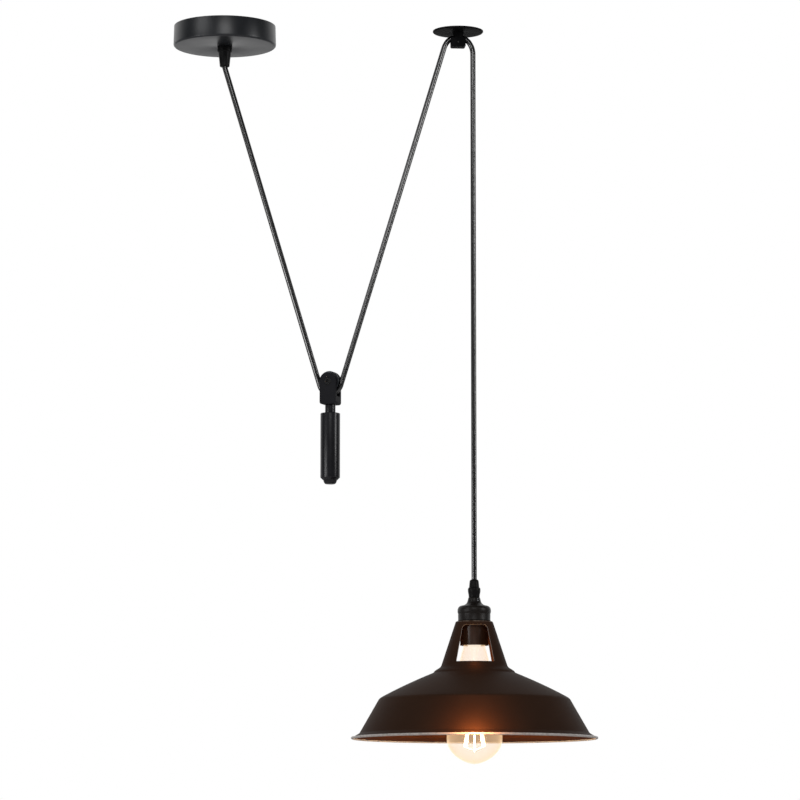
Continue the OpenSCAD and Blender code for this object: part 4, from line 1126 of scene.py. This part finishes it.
def guide_bend(turn):
    """How far out and how far down the cord is after a turn: two arcs, tight and then wide.
    Each adds its radius times the change in the sine, and takes it times that in the cosine."""
    tight, wide = np.minimum(turn, guide_turn), np.maximum(turn, guide_turn)
    out = guide_bend_r * np.sin(tight) + guide_sweep_r * (np.sin(wide) - math.sin(guide_turn))
    down = guide_bend_r * (1 - np.cos(tight)) + guide_sweep_r * (math.cos(guide_turn) - np.cos(wide))
    return out, down


print(f"over the guide the cord bends at {guide_bend_r:.0f} mm and then at {guide_sweep_r:.1f} mm")

# %% Where the runs touch the pulley and the guide
weight_turn = math.radians(-25)
pulley_cord_r = 13.0
wheel_across = np.array([math.cos(weight_turn), math.sin(weight_turn), 0])


def pulley_lean(lean):
    """The lean of a run as seen square on to the turned pulley."""
    return math.atan(math.tan(lean) * math.cos(weight_turn))


def run_lean(lean, rounds=12):
    """Both runs lean alike: the lean whose tangent is the way across over the way down."""
    for _ in range(rounds):
        side = pulley_cord_r * math.cos(pulley_lean(lean)) * math.cos(weight_turn)
        dip = pulley_cord_r * math.sin(pulley_lean(lean))
        out, fall = guide_bend(math.pi / 2 - lean)
        across = guide_left_x - out - 2 * side
        down = rose_exit_z + guide_cord_z - fall - 2 * pulley_z + 2 * dip
        lean = math.atan(across / down)
    return lean


lean = run_lean(math.radians(17))
wheel_lean = pulley_lean(lean)
side = pulley_cord_r * math.cos(wheel_lean) * wheel_across
low = np.array([weight_x, 0, pulley_z - pulley_cord_r * math.sin(wheel_lean)])
left_tangent, right_tangent = low - side, low + side
out, fall = guide_bend(math.pi / 2 - lean)
guide_tangent = np.array([guide_left_x - out, 0, guide_cord_z - fall])
out, fall = guide_bend(math.pi / 2)
drop_top = np.array([drop_x, 0, guide_cord_z - fall])
print(f"the runs lean {math.degrees(lean):.2f} degrees; left tangent {left_tangent.round(1)}")

# %% Circles along paths
cord_sides = 40
map_length = 100


def ring_frames(path):
    """At each point of a path, two directions square to it: the first is what is left of the
    y axis without its share along the path, and the second is square to both."""
    along = np.gradient(path, axis=0)
    along /= np.linalg.norm(along, axis=1, keepdims=True)
    across = np.array([0, 1, 0]) - along * along[:, 1:2]
    across /= np.linalg.norm(across, axis=1, keepdims=True)
    return across, np.cross(along, across)


def map_jacket(made, path, across, up):
    """The UV map: turns round the cord, by the arc tangent, and the way travelled along it,
    one unit for each map_length millimetres."""
    corner = np.zeros(len(made.data.loops), int)
    made.data.loops.foreach_get("vertex_index", corner)
    place = np.zeros(len(made.data.vertices) * 3)
    made.data.vertices.foreach_get("co", place)
    place = place.reshape(-1, 3) / MM
    ring = np.argmin(np.linalg.norm(place[:, None] - path[None], axis=2), axis=1)
    off = place - path[ring]
    turn = np.arctan2((off * up[ring]).sum(1), (off * across[ring]).sum(1)) / (2 * math.pi)
    travelled = np.concatenate([[0], np.cumsum(np.linalg.norm(np.diff(path, axis=0), axis=1))])
    uv = np.stack([turn, travelled[ring] / map_length], 1)[corner]
    layer = made.data.uv_layers.new(name="jacket")
    layer.data.foreach_set("uv", uv.astype(np.float32).ravel())
    print(f"{made.name}: {travelled[-1]:.0f} mm")


def cord_stretch(name, path, body, replaced):
    """path + radius (cos a across + sin a up), closed by a disc at each end."""
    path = np.asarray(path, float)
    across, up = ring_frames(path)
    a = np.linspace(0, 2 * math.pi, cord_sides, endpoint=False)[None, :, None]
    rings = path[:, None] + cord_r * (np.cos(a) * across[:, None] + np.sin(a) * up[:, None])
    ends = np.repeat(path[[0, -1], None], cord_sides, 1)
    points = np.concatenate([ends[:1], rings, ends[1:]])
    faces = quads(len(points), cord_sides, close_columns=True)
    made = piece(name, points, faces, jacket, body, replaced, crease=50)
    map_jacket(made, path, across, up)
    return made


def in_wheel(angle_deg):
    """Points on the cord's circle under the pulley: middle + radius (cos a across + sin a up),
    where across lies in the turned pulley's plane."""
    a = np.radians(angle_deg)[:, None]
    middle = np.array([weight_x, 0, pulley_z])
    return middle + pulley_cord_r * (np.cos(a) * wheel_across + np.sin(a) * np.array([0, 0, 1]))


# %% The two bends
rings_under, rings_up, rings_down = 41, 31, 37
wheel_degrees = math.degrees(wheel_lean)
under_pulley = in_wheel(np.linspace(180 + wheel_degrees, 360 - wheel_degrees, rings_under))
weight_bend = cord_stretch("cord_under_pulley", under_pulley, "counterweight", ["cord_weight_bend"])
out, fall = guide_bend(np.linspace(math.pi / 2 - lean, 0, rings_up))
rising = np.stack([guide_left_x - out, 0 * out, guide_cord_z - fall], 1)
out, fall = guide_bend(np.linspace(0, math.pi / 2, rings_down))
falling = np.stack([guide_right_x + out, 0 * out, guide_cord_z - fall], 1)
over_guide = np.concatenate([rising, falling])
top_bend = cord_stretch("cord_over_guide", over_guide, "ceiling", ["cord_guide_bend"])

# %% The three straight stretches
blend_margin = 4.0


def straight(name, start, finish, replaced):
    """A run with a ring at each end, left where it is drawn, on no body."""
    made = cord_stretch(name, [start, finish], None, replaced)
    way = unit(np.asarray(finish) - start)
    tuple((start + way * blend_margin) * MM)
    tuple((finish - way * blend_margin) * MM)
    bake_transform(made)
    return made


rose_exit = np.array([0, 0, rose_exit_z])
drop_foot = np.array([drop_x, 0, lamp_top])
left_run = straight("cord_left_run", rose_exit, left_tangent, ["cord_left"])
right_run = straight("cord_right_run", guide_tangent, right_tangent, ["cord_right"])
drop_run = straight("cord_drop_run", drop_top, drop_foot, ["cord_drop"])

# %% [markdown]
# ## Everything else from the frame
#
# The remaining parts keep the frame's shape. Each row of the list below says what a part is
# finished with, the body it rides on, its material in the frame and, in millimetres, how far
# its edges are broken. Where that is 0 they stay sharp.

# %% Frame pieces and their finishes
finished = {
    "yoke": (yoke_enamel, "counterweight", "weight_black", 0.35),
    "weight_pulley": (pulley_steel, "weight_pulley", "pulley_dark", 0.0),
    "pulley_bush": (brass, "weight_pulley", "brass", 0.0),
    "pulley_washers": (zinc, "counterweight", "zinc_steel", 0.0),
    "axle_screw": (screw_black, "counterweight", "dark_steel", 0.15),
    "guide_housing": (guide_enamel, "ceiling", "guide_black", 0.25),
    "guide_roller": (brass, "guide_roller", "brass", 0.0),
    "guide_pin": (screw_black, "ceiling", "dark_steel", 0.0),
    "rose_strap": (zinc, "ceiling", "zinc_steel", 0.15),
    "rose_side_screws": (screw_black, "ceiling", "dark_steel", 0.0),
    "rose_grip_nut": (zinc, "ceiling", "zinc_steel", 0.15),
    "rose_grip_screw": (dark_steel, "ceiling", "dark_steel", 0.0),
    "terminal_block": (terminal_plastic, "ceiling", "terminal_plastic", 0.15),
    "terminal_screws": (brass, "ceiling", "brass", 0.0),
    "rose_leads": (leads, "ceiling", "lead_plastic", 0.0),
    "lamp_leads": (leads, "lamp", "lead_plastic", 0.0),
    "rose_cord_tail": (grip_plastic, "ceiling", "cord_black", 0.0),
    "lamp_cord_tail": (grip_plastic, "lamp", "cord_black", 0.0),
    "lamp_grip_screw": (dark_steel, "lamp", "zinc_steel", 0.1),
    "holder_core": (ceramic, "lamp", "ceramic", 0.15),
    "holder_screws": (brass, "lamp", "brass", 0.0),
    "socket_shell": (brass, "lamp", "brass", 0.0),
    "centre_contact": (brass, "lamp", "brass", 0.0),
    "shade_ring": (skirt_lacquer, "lamp", "holder_bronze", 0.2),
    "bulb_base": (nickel, "lamp", "base_nickel", 0.0),
    "bulb_insulator": (insulator, "lamp", "insulator_black", 0.0),
    "bulb_contact": (nickel, "lamp", "base_nickel", 0.0),
    "bulb_stem": (stem_clear, "lamp", "stem_glass", 0.0),
    "bulb_supports": (hot_wire, "lamp", "support_wire", 0.0),
    "filaments": (hot_filament, "lamp", "filament", 0.0),
}
for node, dressing in finished.items():
    machined(node, *dressing)
print("frame pieces finished:", len(finished))

# %% [markdown]
# ## Studio
#
# A plain white room. To the eye the sky is white. In reflections it is white only behind the
# pendant and nearly dark in front, so that what faces the camera stays dark and outlines
# catch a pale line. As a light it is dim. The floor lies far below, out of the front picture.

# %% Sky
front_dimmed = 0.05
dark_until, white_from = 0.1, 0.7
sky_light = 0.28
sky_tint = (0.97, 0.98, 1.0, 1)

world = bpy.data.worlds.new("sky")
bpy.context.scene.world = world
world.use_nodes = True
world.node_tree.nodes.clear()
sky = Nodes(world.node_tree)


def background(strength, colour=(1, 1, 1, 1)):
    """A sky of one colour, as bright as that."""
    return sky.node("ShaderNodeBackground", values={"Color": colour, "Strength": strength})


def chosen(share, first, second):
    """The first sky where share is 0 and the second where it is 1."""
    return sky.node("ShaderNodeMixShader", values={0: share, 1: first, 2: second})


way = sky.node("ShaderNodeTexCoord", output="Generated")
backward = sky.node("ShaderNodeSeparateXYZ", values={0: way}, output="Y")
backdrop = sky.node(
    "ShaderNodeMapRange", {"interpolation_type": "SMOOTHSTEP"},
    {"Value": backward, "From Min": dark_until, "From Max": white_from,
     "To Min": front_dimmed, "To Max": 1.0},
)
camera_ray = sky.node("ShaderNodeLightPath", output="Is Camera Ray")
glass_ray = sky.node("ShaderNodeLightPath", output="Is Transmission Ray")
glossy_ray = sky.node("ShaderNodeLightPath", output="Is Glossy Ray")
seen = sky.node("ShaderNodeMath", {"operation": "MAXIMUM"}, {0: camera_ray, 1: glass_ray})
in_metal = chosen(glossy_ray, background(sky_light, sky_tint), background(backdrop))
outlet = sky.tree.nodes.new("ShaderNodeOutputWorld")
sky.feed(outlet.inputs["Surface"], chosen(seen, in_metal, background(1.0)))
print("sky:", len(sky.tree.nodes), "nodes")

# %% Floor
floor_z = -1500.0
floor_half = 6000.0
corners = np.array([[-1, -1, 0], [1, -1, 0], [1, 1, 0], [-1, 1, 0]]) * floor_half + [0, 0, floor_z]
floor_mesh = bpy.data.meshes.new("floor")
floor_mesh.from_pydata((corners * MM).tolist(), [], [[0, 1, 2, 3]])
floor = bpy.data.objects.new("floor", floor_mesh)
bpy.context.scene.collection.objects.link(floor)
pale = Finish("pale_floor")
pale.set(Base_Color=(0.9, 0.9, 0.9, 1.0), Roughness=0.9)
floor_mesh.materials.append(pale.material)
floor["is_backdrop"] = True
print(f"floor at z {floor_z:.0f} mm")

# %% [markdown]
# ### Soft lights
#
# On a round part, a light at twice the angle of a spot's own slant is mirrored at that spot.
# So a wide light high in front gives the broad sheen, two on the left draw the bright lines
# on that side of the cords, one low for the left run and one high for the right run, and a
# tall one on the right draws the strip down the weight.

# %% Soft lights


def soft_light(name, width, height, power, at, towards):
    """A rectangle of light, in millimetres, that faces a point."""
    data = bpy.data.lights.new(name, "AREA")
    data.shape = "RECTANGLE"
    data.size = width * MM
    data.size_y = height * MM
    data.energy = power
    lamp = bpy.data.objects.new(name, data)
    at = np.asarray(at, float)
    back = unit(at - towards)
    side_way = unit(np.cross([0, 0, 1], back))
    upward = np.cross(back, side_way)
    turned_to = np.identity(4)
    turned_to[:3] = np.column_stack([side_way, upward, back, at * MM])
    lamp.matrix_world = Matrix(turned_to.tolist())
    lamp.visible_camera = False
    bpy.context.scene.collection.objects.link(lamp)
    print(f"{name}: {power} W from {np.linalg.norm(at - towards) * MM:.2f} m away")


middle_of_all = [180, 0, -420]
soft_light("front_high", 1000, 450, 14, [-60, -2500, 620], middle_of_all)
soft_light("left_low", 800, 260, 7, [-1250, -850, -535], middle_of_all)
soft_light("left_high", 800, 400, 4.5, [-1250, -900, 560], middle_of_all)
soft_light("right_strip", 260, 640, 10, [1850, -900, -40], middle_of_all)

# %% [markdown]
# ### Warm lamps
#
# A small lamp where the filaments are lights the inside of the shade. In the photograph the
# bulb's glare also spreads in the camera, over the rim in front of it and under the window.
# That glare is no part of the object and isn't painted on it: two weak amber lamps that the
# camera can't see stand for it.

# %% Warm lamps
flame = (1.0, 0.62, 0.3)
amber = (1.0, 0.42, 0.14)


def warm_light(name, power, at, radius_mm, colour):
    """A small warm source that neither the camera nor a glossy surface sees."""
    data = bpy.data.lights.new(name, "POINT")
    data.energy = power
    data.color = colour
    data.shadow_soft_size = radius_mm * MM
    lamp = bpy.data.objects.new(name, data)
    lamp.location = tuple(float(v) * MM for v in at)
    lamp.visible_camera = False
    lamp.visible_glossy = False
    bpy.context.scene.collection.objects.link(lamp)
    print(f"{name}: {power} W")


warm_light("bulb_light", 1.5, [lamp_x, 0, filament_foot + 4], 8, flame)
warm_light("glow_at_rim", 0.28, [lamp_x - 15.5, -148, -782], 6, amber)
warm_light("glow_at_window", 0.004, [lamp_x - 4, -42, -706], 3, amber)

# %% Colour and the visual box
bpy.context.scene.view_settings.view_transform = "Standard"
visual_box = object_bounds()
grown = [round((v - c) / MM, 2) for a, b in zip(visual_box, cad_box) for v, c in zip(a, b)]
print("visual box against the frame's, mm:", grown)
